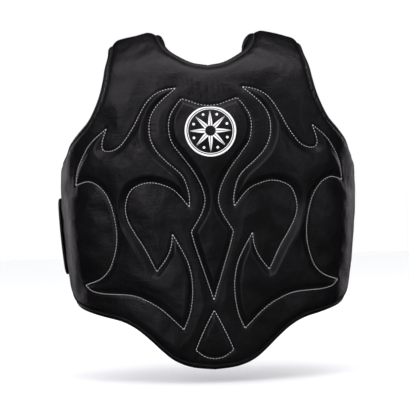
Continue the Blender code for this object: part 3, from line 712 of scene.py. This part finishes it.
def ribbed_material(name, tone):
    """Elastic webbing: rubber cords under a knit, which run along the belt, and a finer cross thread."""
    made = Nodes(name, tone, 0.7)
    cords = made.bands(0.0016, "Z")
    cross = made.noise(0.0009, 2.0)
    fuzz = made.noise(0.03, 4.0)
    made.colours(made.mixed((cords, 0.4), (fuzz, 0.5)), shades(tone, (0.15, 0.5), (0.5, 1.0), (0.9, 2.2)))
    made.rough(made.cloudy(fuzz, 0.6, 0.82))
    made.bump((cords, 0.0003, 0.7), (cross, 0.00015, 0.6))
    made.put(Sheen_Weight=0.25, Sheen_Roughness=0.5)
    return made.material


def pile_material(name, tone):
    """Hook and loop tape: a dense pile of tiny hooks or curls that stands in rows."""
    made = Nodes(name, tone, 0.95)
    hooks = made.cells(0.0011, random=0.55)
    tufts = made.noise(0.0035, 4.0)
    made.colours(made.mixed((hooks, 0.6), (tufts, 0.4)), shades(tone, (0.1, 2.6), (0.5, 1.0), (0.9, 0.3)))
    made.rough(made.cloudy(tufts, 0.88, 1.0))
    made.bump((hooks, 0.0006, 0.9), (tufts, 0.0005, 0.5))
    made.put(Sheen_Weight=0.2, Sheen_Roughness=0.7)
    return made.material


def foam_material(name, tone):
    """Closed-cell foam sheet: fine bubbles cut open and faint clouding."""
    made = Nodes(name, tone, 0.9)
    bubbles = made.cells(0.0012)
    clouds = made.noise(0.03, 4.0)
    made.colours(made.mixed((bubbles, 0.4), (clouds, 0.6)), shades(tone, (0.2, 0.7), (0.6, 1.0), (0.9, 1.2)))
    made.rough(made.cloudy(clouds, 0.82, 0.97))
    made.bump((bubbles, 0.0003, 0.7))
    return made.material


def print_material(name, tone):
    """Screen-printed ink on hide: the grain shows through, with a few fine cracks that aren't quite white."""
    made = Nodes(name, tone, 0.5)
    grain = made.cells(0.0013)
    cracks = made.spread(made.cells(0.006, "DISTANCE_TO_EDGE"), 0.0, 0.03)
    clouds = made.noise(0.006, 5.0)
    worn = made.math("MULTIPLY", made.spread(clouds, 0.25, 0.75, 0.6, 1.0), made.spread(cracks, 0.0, 1.0, 0.75, 1.0))
    made.colours(worn, shades(tone, (0.3, 0.45), (0.75, 1.0)))
    made.rough(made.cloudy(clouds, 0.42, 0.6))
    made.bump((grain, 0.00012, 0.4), (cracks, 0.00006, 0.5))
    return made.material


LEATHER = leather_material("hide", (0.0042, 0.0036, 0.0045), 0.36)
EDGE_LEATHER = leather_material("edge_hide", (0.0036, 0.0032, 0.0038), 0.42)
WHITE_THREAD = thread_material("pale_thread", (0.78, 0.78, 0.76), 0.2)
BLACK_THREAD = thread_material("dark_thread", (0.016, 0.016, 0.017), 0.15)
LINING_CLOTH = woven_material("lining_cloth", (0.014, 0.014, 0.016), 0.0007, "XZ", 0.3)
WEBBING = ribbed_material("elastic_webbing", (0.009, 0.009, 0.010))
PILE = pile_material("pile", (0.007, 0.007, 0.008))
FIRM_FOAM = foam_material("firm_foam", (0.16, 0.16, 0.17))
SOFT_FOAM = foam_material("soft_foam", (0.62, 0.60, 0.52))
INK = print_material("ink", (0.84, 0.84, 0.83))


# ---------------------------------------------------------------- making pieces
def piece(name, points, faces, material, body, slot, sharp=None):
    """A mesh object from points in millimetres, which rides on a body, or on none."""
    mesh = bpy.data.meshes.new(name)
    mesh.from_pydata((points * MM).tolist(), [], faces)
    mesh.materials.append(material)
    mesh.shade_smooth()
    if sharp:
        mesh.set_sharp_from_angle(angle=math.radians(sharp))
    made = in_scene(name, mesh)
    if body:
        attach(made, body)
    return made


def closed_sheet(top, bottom, quads):
    """The points and faces of a closed sheet, from the points of its two sides."""
    count = len(top)
    edges = np.concatenate([quads[:, [k, (k + 1) % 4]] for k in range(4)]).tolist()
    seen = {tuple(edge) for edge in edges}
    border = [(b, a, a + count, b + count) for a, b in edges if (b, a) not in seen]
    return np.vstack([top, bottom]), quads.tolist() + (quads[:, ::-1] + count).tolist() + border


def shell(flat_points, quads, top, bottom):
    """A closed sheet between two lifts over a flat grid: its points and faces."""
    u, v = flat_points.T
    return closed_sheet(lifted(u, v, top), lifted(u, v, bottom), quads)


def tubes(rings):
    """The points and faces of closed tubes, from an array of tubes of rings of points."""
    n, s, m = rings.shape[:3]
    i, j, k = np.meshgrid(np.arange(n) * s * m, np.arange(s - 1) * m, np.arange(m), indexing="ij")
    near, far = i + j + k, i + j + (k + 1) % m
    faces = np.stack([far, far + m, near + m, near], axis=-1).reshape(-1, 4).tolist()
    caps = np.arange(n)[:, None] * s * m + np.arange(m)
    return rings.reshape(-1, 3), faces + caps.tolist() + (caps + (s - 1) * m)[:, ::-1].tolist()


def facing_out(points, faces):
    """The same points, and the faces turned so that the closed shape's volume is positive."""
    total = 0.0
    for face in faces:
        a = points[face[0]]
        for b, c in zip(face[1:-1], face[2:]):
            total += a @ np.cross(points[b], points[c])
    return points, faces if total > 0 else [list(face)[::-1] for face in faces]


STITCH_SIDES = 6
# Where a stitch's rings are along it, and how wide and high they are in radii.
STITCH_ARCH = [(-0.5, 0.35, -0.45), (-0.36, 0.9, 0.1), (0.0, 1.0, 0.35), (0.36, 0.9, 0.1), (0.5, 0.35, -0.45)]
# A stitch's pitch, length and radius.
SEAM_STITCH, QUILT_STITCH, PATCH_STITCH = (3.6, 2.7, 0.42), (4.3, 2.5, 0.45), (3.4, 2.5, 0.42)
THREAD_STEP = 1.2


def stitches(name, lines, stitch, material, body, slot):
    """Sewing thread along lines of (points, normals): each stitch is a low arch whose ends go into the piece."""
    pitch, length, radius = stitch
    turn = (np.arange(STITCH_SIDES) * math.tau / STITCH_SIDES)[:, None]
    arches = []
    for points, normals in lines:
        along = lengths(points)
        count = max(1, int(along[-1] / pitch))
        at = (np.arange(count) + 0.5) * along[-1] / count
        middle, up = read_at(at, along, points), read_at(at, along, normals)
        ahead, back = (read_at(at + reach * length, along, points) for reach in (0.4, -0.4))
        forward = units(ahead - back)
        aside = units(np.cross(up, forward))
        up = np.cross(forward, aside)
        rings = []
        for share, wide, high in STITCH_ARCH:
            centre = middle + forward * share * length + up * radius * high
            around = np.cos(turn) * aside[:, None] + np.sin(turn) * up[:, None]
            rings.append(centre[:, None] + radius * wide * around)
        arches.append(np.stack(rings, axis=1))
    return piece(name, *tubes(np.concatenate(arches)), material, body, slot)


def laid_line(line, lift_at, extra=0.0):
    """A flat line as points and normals on a lifted surface."""
    u, v = spaced(np.asarray(line, float), THREAD_STEP).T
    return laid(u, v, lift_at(u, v) + extra)


# ---------------------------------------------------------------- the padded panel
COVER_STEP, LINING_STEP = ((2.0, 3.0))
SHEET_MARGIN = 1.2
HIDE = 1.8
LINING_OUT, LINING_IN, LINING_RISE = -27.3, -28.5, 13.5


def leather_cover():
    points, quads, _ = flat_grid(COVER_STEP, SHEET_MARGIN)
    top = cover_lift(*points.T)
    made = piece("leather_cover", *shell(points, quads, top, top - HIDE), LEATHER, "torso_shell", "leather")
    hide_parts("front_cover", "field_foam", "left_flame_pad", "right_flame_pad", "shield_pad", "drop_pad")


def lining_lift(u, v):
    edge, _ = from_edge(u, v)
    soft = 0.8 * ripple(u, v, 70, 21) + 0.35 * ripple(u, v, 26, 22)
    return -rim(edge, LINING_RISE) + soft * smooth((edge - LIP) / RIM_ROUND)


def inner_lining():
    points, quads, _ = flat_grid(LINING_STEP, SHEET_MARGIN)
    rise = lining_lift(*points.T)
    sheet = shell(points, quads, LINING_OUT + rise, LINING_IN + rise)
    made = piece("lining_sheet", *sheet, LINING_CLOTH, "torso_shell", "lining")
    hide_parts("inner_lining")


def quilting():
    """The pale thread of every quilting line."""
    lines = [laid_line(line * [side, 1], cover_lift, 0.5) for line in FLAME + SHIELD + DROP for side in (1, -1)]
    stitches("quilting_thread", lines, QUILT_STITCH, WHITE_THREAD, "torso_shell", "print")


# A binding's section: how far in from the panel's edge, and the lift.
BINDING_SECTION = [(7.0, -4.8), (7.3, -4.0), (6.5, -3.4), (4.6, -3.1), (2.6, -3.4), (0.6, -4.3), (-1.3, -6.0),
                   (-2.6, -8.1), (-3.0, -10.1), (-2.6, -12.1), (-1.3, -14.1), (0.6, -15.7), (2.6, -16.6),
                   (4.6, -16.9), (6.5, -16.6), (7.3, -16.0), (7.0, -15.2), (2.0, -14.7), (0.4, -12.9),
                   (-0.4, -10.1), (0.4, -7.3), (2.0, -5.4)]
BINDING_MIDDLE, BINDING_STEP = -10.1, 2.4
BINDING_WAVE, BINDING_WAVE_LENGTH = 0.16, 7.5
BINDING_SEAM, BINDING_SEAM_LIFTS = 4.4, ((-3.15, 1), (-16.85, -1))


def edge_parts():
    """The four stretches of the panel's edge, each bound by its own strip."""
    edge = half_outline(OUTLINE_STEP)
    corners = wing(WING_END, 210), over_shoulder(104, FLAP_END_Z - 2)
    first, last = (int(np.linalg.norm(edge - np.array(corner), axis=1).argmin()) for corner in corners)
    hem, side, neck = edge[:first + 1], edge[first:last + 1], edge[last:]
    return {
        "hem_binding": np.vstack([(hem * [-1, 1])[::-1], hem[1:]]),
        "left_side_binding": side,
        "neck_binding": np.vstack([neck, (neck * [-1, 1])[-2::-1]]),
        "right_side_binding": (side * [-1, 1])[::-1],
    }


def outward_of(line):
    along = np.gradient(line, axis=0)
    return units(np.stack([along[:, 1], -along[:, 0]], axis=1))


def eased(values, passes):
    """A line of vectors averaged with its neighbours."""
    for _ in range(passes):
        padded = np.vstack([values[:1], values, values[-1:]])
        values = (padded[:-2] + 2 * padded[1:-1] + padded[2:]) / 4
    return values


def bindings():
    """The rolled leather strips over the panel's edge, and their stitching on both faces."""
    threads = []
    for number, (name, line) in enumerate(edge_parts().items()):
        line = spaced(line, BINDING_STEP)
        out = units(eased(outward_of(line), 3))
        along = lengths(line)
        wave = BINDING_WAVE * np.cos(math.tau * along / BINDING_WAVE_LENGTH + 2 * np.cos(along / 41 + number))
        wave *= 0.6 + 0.4 * np.cos(along / 29 + 2 * number)
        rings = []
        for inward, lift in BINDING_SECTION:
            outer = 1.0 if lift > BINDING_MIDDLE else -1.0
            rings.append(lifted(*(line - out * inward).T, lift + outer * wave))
        shape = facing_out(*tubes(np.stack(rings, axis=1)[None]))
        made = piece(name + "_strip", *shape, EDGE_LEATHER, "torso_shell", "binding")
        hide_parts(name)
        for lift, facing in BINDING_SEAM_LIFTS:
            points, normals = laid(*(line - out * BINDING_SEAM).T, lift)
            threads.append((points, normals * facing))
    stitches("binding_thread", threads, SEAM_STITCH, BLACK_THREAD, "torso_shell", "binding")


def repaint(material, *names):
    """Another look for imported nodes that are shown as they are."""
    for name in names:
        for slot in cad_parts[name].material_slots:
            slot.material = material


# ---------------------------------------------------------------- the printed badge
EMBLEM_Z, EMBLEM_RADIUS, EMBLEM_INNER, STAR_POINTS = 350.0, 37.0, 32.5, 8
STAR_CORE, STAR_TIP, STAR_SLIT, STAR_WIDTH = 7.5, 30.0, 0.35, 0.46
BEADS_RADIUS, BEAD_RADII = 26.0, (0.5, 1.2, 1.9)
RING_POINTS, BEAD_POINTS = 144, 16
INK_LIFT, INK_SKIN = 0.22, 0.5


def ink(rings, closed):
    """Points and faces of a print that lies on the leather: rings of flat points, with thickness."""
    n, m = rings.shape[:2]
    u, v = rings.reshape(-1, 2).T
    top = cover_lift(u, v) + INK_LIFT
    number = np.arange(n * m).reshape(n, m)
    ahead = np.roll(number, -1, axis=0)
    i = slice(None) if closed else slice(0, n - 1)
    quads = np.stack([number[i, :-1], number[i, 1:], ahead[i, 1:], ahead[i, :-1]], axis=-1).reshape(-1, 4)
    return shell(rings.reshape(-1, 2), quads, top, top - INK_SKIN)


def merged(parts):
    points, faces, start = [], [], 0
    for part in parts:
        part_points, part_faces = facing_out(*part)
        points.append(part_points)
        faces += [[int(i) + start for i in face] for face in part_faces]
        start += len(part_points)
    return np.vstack(points), faces


def circles(centre, radii, count):
    """Flat points round a centre, count of them at each radius."""
    turn = np.linspace(0, math.tau, count + 1)[:-1]
    return centre + np.stack([np.outer(np.sin(turn), radii), np.outer(np.cos(turn), radii)], axis=-1)


def star_half(centre, turn, side):
    """Half of one point of the star, from its core to its tip."""
    out, beside = np.array([math.sin(turn), math.cos(turn)]), side * np.array([math.cos(turn), -math.sin(turn)])
    across = np.linspace(0.06, 1, 5)
    rows = []
    for share in np.linspace(0.0, 1.0, 14):
        half = STAR_WIDTH * math.tau / STAR_POINTS * STAR_CORE * (1 - share) * (1.0 + 1.3 * share * (1 - share))
        point = centre + (STAR_CORE + share * (STAR_TIP - STAR_CORE)) * out
        rows.append(point + np.outer(STAR_SLIT + across * half, beside))
    return np.array(rows)


def emblem():
    """A plain badge: two rings, a beaded circle and an eight-pointed star, each point split down its middle."""
    centre = np.array(front(0, EMBLEM_Z))
    rings = np.linspace(EMBLEM_RADIUS - 2.6, EMBLEM_RADIUS, 4), np.linspace(EMBLEM_INNER - 0.4, EMBLEM_INNER + 0.6, 3)
    parts = [ink(circles(centre, radii, RING_POINTS), True) for radii in rings]
    step = math.tau / STAR_POINTS
    for i in range(STAR_POINTS):
        parts += [ink(star_half(centre, i * step, side), False) for side in (1, -1)]
        turn = (i + 0.5) * step
        bead = centre + BEADS_RADIUS * np.array([math.sin(turn), math.cos(turn)])
        parts.append(ink(circles(bead, BEAD_RADII, BEAD_POINTS), True))
    made = piece("badge_print", *merged(parts), INK, "torso_shell", "print")
    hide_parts("chest_emblem")


# ---------------------------------------------------------------- the belt
PATCH_SHARP = 55.0  # edges that turn more than this many degrees are shaded as sharp
HINGE_GAP = 1.5  # each part of the belt stops this far from its hinge
ELASTIC_INSET = 4.0  # the elastic is this much narrower than the leather, on both sides
ANCHOR_CORNER, TAB_CORNER = 4, 14
WEB_INSET = 5.0


def rounded_grid(low, high, corner, step):
    """A flat grid over a rounded rectangle, with a close border line, and how far each point is from the edge."""
    def stations(a, b, s):
        inner = np.linspace(a + 1.0, b - 1.0, max(2, round((b - a - 2.0) / s) + 1))
        return np.concatenate([[a, a + 0.4], inner, [b - 0.4, b]])

    grid = np.stack(np.meshgrid(*map(stations, low, high, step), indexing="ij"), axis=-1)
    low, high = np.array(low), np.array(high)
    edge = np.minimum(grid - low, high - grid).min(axis=-1)
    middle, half = (low + high) / 2, (high - low) / 2 - corner
    off = grid - middle
    past = np.clip(np.abs(off) - half, 0, None)
    length = np.maximum(np.hypot(past[..., 0], past[..., 1]), 1e-9)
    pull = np.where((past > 0).all(axis=-1), past.max(axis=-1) / length, 1.0)[..., None]
    grid = middle + np.sign(off) * (np.minimum(np.abs(off), half) + past * pull)
    return grid.reshape(-1, 2), grid_quads(np.arange(edge.size).reshape(edge.shape)).reshape(-1, 4), edge.ravel()


def patch(name, low, high, corner, top, bottom, step, material, body, slot, surface=None):
    """A flat patch with rounded corners and softened edges, between two lifts."""
    points, quads, edge = rounded_grid(low, high, corner, step)
    ease = 0.7 * (1 - np.clip(edge, 0, 1)) ** 2
    extra = surface(*points.T, edge) if surface else 0.0
    shape = facing_out(*shell(points, quads, top - ease + extra, bottom + 0.5 * ease))
    return piece(name, *shape, material, body, slot, sharp=PATCH_SHARP)


def border_rows(low, high, corner, inset, lift):
    """The closed stitch row inside a rounded rectangle, as points and normals at one lift."""
    (u0, v0), (u1, v1) = np.array(low) + inset, np.array(high) - inset
    r = max(corner - inset, 0.5)
    loop = []
    for cu, cv, first in ((u1 - r, v0 + r, -90), (u1 - r, v1 - r, 0), (u0 + r, v1 - r, 90), (u0 + r, v0 + r, 180)):
        loop += [(cu + r * math.cos(a), cv + r * math.sin(a)) for a in np.radians(first + np.linspace(0, 90, 7))]
    loop.append(loop[0])
    return laid_line(loop, lambda u, v: np.full(np.shape(u), lift))


def hinge_web(name, u):
    """A short length of elastic from inside one part of the belt into the next, across their hinge."""
    low, high = (u - WEB_REACH, BELT_LOW + WEB_INSET), (u + WEB_REACH, BELT_HIGH - WEB_INSET)
    made = patch(name, low, high, 1, BELT_OVER - 0.7, BELT_UNDER + 0.6, (0.8, 5), WEBBING, None, "elastic")
    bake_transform(made)


def cords(u, v, edge):
    """The elastic's face: ribs along the belt, gathered a little unevenly."""
    ribs = 0.28 * np.abs(np.cos(math.pi * (v - BELT_LOW) / 3.6))
    return ribs - 0.5 + 0.35 * ripple(u, v, 22, 41) * smooth(edge / 8)


def belt():
    tab_end, tab_hinge = 2 * U_BACK - TAB_END, 2 * U_BACK - TAB_HINGE
    anchor = ((ANCHOR_START, BELT_LOW), (BELT_HINGE - HINGE_GAP, BELT_HIGH), ANCHOR_CORNER)
    made = patch("belt_anchor_leather", *anchor, BELT_OVER, 1.0, (5, 5), EDGE_LEATHER, "torso_shell", "leather",
                 dimpled(3.0))
    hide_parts("belt_anchor")
    elastic = ((BELT_HINGE + HINGE_GAP, BELT_LOW + ELASTIC_INSET), (tab_hinge - HINGE_GAP, BELT_HIGH - ELASTIC_INSET))
    made = patch("belt_elastic_web", *elastic, 2, BELT_OVER, BELT_UNDER, (5, 0.9), WEBBING, "waist_belt", "elastic",
                 cords)
    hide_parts("belt_elastic")
    tab = ((tab_hinge + HINGE_GAP, BELT_LOW), (tab_end, BELT_HIGH), TAB_CORNER)
    made = patch("belt_tab_leather", *tab, BELT_OVER, BELT_UNDER, (4, 4), EDGE_LEATHER, "belt_end", "leather",
                 dimpled(4.5))
    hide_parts("belt_tab")
    for name, edge, insets, body in (("belt_anchor_thread", anchor, (3.0, 9.0), "torso_shell"),
                                     ("belt_tab_thread", tab, (4.5, 11.0), "belt_end")):
        rows = [border_rows(*edge, inset, BELT_OVER) for inset in insets]
        stitches(name, rows, SEAM_STITCH, BLACK_THREAD, body, "leather")
    hinge_web("belt_anchor_web", BELT_HINGE)
    hinge_web("belt_tab_web", tab_hinge)


def dimpled(row):
    """Leather over webbing: a shallow groove at its stitch row, and slight unevenness inside."""
    def surface(u, v, edge):
        return -0.35 * hump(edge - row, 1.6) + 0.25 * ripple(u, v, 30, 44) * smooth(edge / 10)
    return surface


# ---------------------------------------------------------------- the back harness
STRAP_SEAM, STRAP_THREAD_LIFT = 4.5, 3.6  # the stitch rows' distance from a strap's edges, and their height
STRAP_RING_STEP = 5.0
PATCH_CORNER, PATCH_SEAM = 2.5, 3.2
BOX_SHARE = 0.92  # how much of the patch's diagonals the crossed box takes


def strap_frames(mirror):
    """Points along a strap's inner face with their across and out directions, closely spaced."""
    near = np.clip(1 - np.linalg.norm(STRAP_ROUTE[:, :3] - STRAP_TOP[-1], axis=1) / CROSSING_REACH, 0, 1)
    rise = CROSSING_RISE * np.clip(2.2 * near, 0, 1)[:, None]
    flip = np.array([mirror, 1, 1])
    centre, normal = STRAP_ROUTE[:, :3] * flip, STRAP_ROUTE[:, 3:] * flip
    if mirror < 0:
        centre = centre + rise * normal
    inward = units(units(centre[0] - centre[1]) + STRAP_ROOT_LEAN * normal[0])
    root = np.concatenate([centre[0] + STRAP_ROOT * inward, normal[0]])
    centre, normal = np.hsplit(spaced(np.vstack([root, np.hstack([centre, normal])]), STRAP_RING_STEP), 2)
    along = eased(np.gradient(centre, axis=0), 2)
    across = units(np.cross(along, normal))
    return centre, across, units(np.cross(across, along))


def strap_section():
    """A strap's section, as (across, out): two leathers over webbing, with rounded edges and a slight crown."""
    half = STRAP_WIDTH / 2
    edge = [(half - 0.9, 0.1), (half - 0.25, 0.6), (half, 1.4), (half, 2.4), (half - 0.3, 3.1), (half - 1.0, 3.55)]
    top = [(x, 3.55 + 0.4 * (1 - (x / half) ** 2) - 0.3 * hump(half - abs(x) - STRAP_SEAM, 1.4))
           for x in np.linspace(half - 2.2, -half + 2.2, 26)]
    return edge + top + [(-x, y) for x, y in edge[::-1]] + [(x, 0.05) for x in np.linspace(-half + 3, half - 3, 6)]


def harness():
    threads = []
    section = strap_section()
    for side, mirror in (("left", 1), ("right", -1)):
        centre, across, out = strap_frames(mirror)
        shape = facing_out(*tubes(np.stack([centre + across * x + out * y for x, y in section], axis=1)[None]))
        made = piece(f"{side}_strap_leather", *shape, EDGE_LEATHER, None, "leather")
        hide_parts(f"{side}_strap")
        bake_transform(made)
        row = centre[5:-1] + out[5:-1] * STRAP_THREAD_LIFT
        aside = across[5:-1] * (STRAP_WIDTH / 2 - STRAP_SEAM)
        threads += [(row - aside, out[5:-1]), (row + aside, out[5:-1])]
    stitches("strap_thread", threads, SEAM_STITCH, BLACK_THREAD, "back_harness", "leather")


def cross_patch():
    """The diamond of leather sewn over the crossing, with its stitch row and a crossed box."""
    outward = units(np.array(STRAP_TOP_NORMALS[-1]))
    base = np.array(STRAP_TOP[-1]) + np.array(STRAP_TOP_NORMALS[-1]) * (CROSSING_RISE + STRAP_SKIN + PATCH_LIFT)
    aside = np.array([1.0, 0.0, 0.0])
    upward = np.cross(aside, outward)
    diagonals = np.array([aside + upward, upward - aside]) / math.sqrt(2)
    half = CROSS_PATCH / math.sqrt(2) / 2
    flat, quads, edge = rounded_grid((-half, -half), (half, half), PATCH_CORNER, (2, 2))
    level = PATCH_SKIN - 0.6 * (1 - np.clip(edge, 0, 1)) ** 2 - 0.3 * hump(edge - PATCH_SEAM, 1.2)
    ground = base + flat @ diagonals
    shape = facing_out(*closed_sheet(ground + level[:, None] * outward, ground, quads))
    made = piece("cross_patch_leather", *shape, EDGE_LEATHER, "back_harness", "leather", sharp=PATCH_SHARP)
    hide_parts("cross_patch")
    r = half - PATCH_SEAM
    corners = np.array([(-r, -r), (r, -r), (r, r), (-r, r), (-r, -r)])
    rows = []
    for line in (corners, corners[[0, 2]] * BOX_SHARE, corners[[1, 3]] * BOX_SHARE):
        place = base + outward * (PATCH_SKIN - 0.1) + spaced(line, THREAD_STEP) @ diagonals
        rows.append((place, np.tile(outward, (len(place), 1))))
    stitches("cross_patch_thread", rows, PATCH_STITCH, BLACK_THREAD, "back_harness", "leather")


# ---------------------------------------------------------------- studio
CAMERA_DISTANCE, CAMERA_TURN, CAMERA_ROLL, CAMERA_LENS = 2.6, -2.0, -1.3, 147.4
AIM = Vector((-0.0056, 0.0, 0.2433))
FLOOR_Z, FLOOR_HALF = -0.02, 6.0
LIGHT_COLOUR = (1.0, 0.94, 1.02)
# Each light's name, place, size in metres and power in watts.
LIGHTS = [
    ("key_left", (-1.5, -1.9, 1.5), (1.1, 1.1), 11.0),
    ("top_front", (0.25, -1.3, 2.3), (2.0, 0.9), 9.2),
    ("overhead", (0.0, -0.1, 2.4), (2.2, 1.2), 14.0),
    ("fill_right", (1.9, -1.5, 0.8), (0.5, 1.3), 2.6),
    ("low_front", (-0.7, -2.2, 0.0), (0.5, 0.8), 2.2),
    ("rim_left", (-1.2, 1.2, 0.3), (0.2, 1.3), 3.0),
    ("rim_right", (1.2, 1.2, 0.3), (0.16, 1.3), 2.2),
]


def camera():
    made = in_scene("camera", bpy.data.cameras.new("camera"))
    made.data.lens = CAMERA_LENS
    made.data.sensor_width = 36.0
    turn = math.radians(CAMERA_TURN)
    made.location = AIM + CAMERA_DISTANCE * Vector((math.sin(turn), -math.cos(turn), 0.0))
    look = (AIM - made.location).to_track_quat("-Z", "Y").to_matrix()
    made.rotation_euler = (look @ Matrix.Rotation(math.radians(CAMERA_ROLL), 3, "Z")).to_euler()
    bpy.context.scene.camera = made


def floor():
    made = in_scene("floor", bpy.data.meshes.new("floor"))
    corners = [(-1, -1), (1, -1), (1, 1), (-1, 1)]
    made.data.from_pydata([(x * FLOOR_HALF, y * FLOOR_HALF, FLOOR_Z) for x, y in corners], [], [(0, 1, 2, 3)])
    ground = Nodes("floor", (0.9, 0.9, 0.9), 0.75)
    ground.colours(ground.noise(0.4, 2.0), [(0.3, (0.94, 0.94, 0.95)), (0.7, (0.96, 0.96, 0.97))])
    ground.put(Emission_Color=(0.9, 0.95, 1.0, 1.0), Emission_Strength=0.12)
    made.data.materials.append(ground.material)
    made.visible_glossy = False


def lighting():
    world = bpy.data.worlds.new("studio")
    bpy.context.scene.world = world
    world.use_nodes = True
    world.node_tree.nodes["Background"].inputs["Color"].default_value = (1, 1, 1, 1)
    world.node_tree.nodes["Background"].inputs["Strength"].default_value = 1.0
    world.cycles_visibility.glossy = False
    for name, place, size, power in LIGHTS:
        lamp = bpy.data.lights.new(name, "AREA")
        lamp.shape = "RECTANGLE"
        lamp.size, lamp.size_y = size
        lamp.energy = power
        lamp.color = LIGHT_COLOUR
        light = in_scene(name, lamp)
        light.location = place
        light.rotation_euler = (AIM - light.location).to_track_quat("-Z", "Y").to_euler()


def studio():
    bpy.context.scene.view_settings.view_transform = "Standard"
    camera()
    floor()
    lighting()


leather_cover()
inner_lining()
quilting()
bindings()
repaint(FIRM_FOAM, "impact_foam")
repaint(SOFT_FOAM, "comfort_foam")
emblem()
belt()
harness()
cross_patch()
repaint(PILE, "belt_tab_hook", "wing_loop_panel", "left_strap_hook", "left_strap_loop", "right_strap_hook",
        "right_strap_loop")
studio()
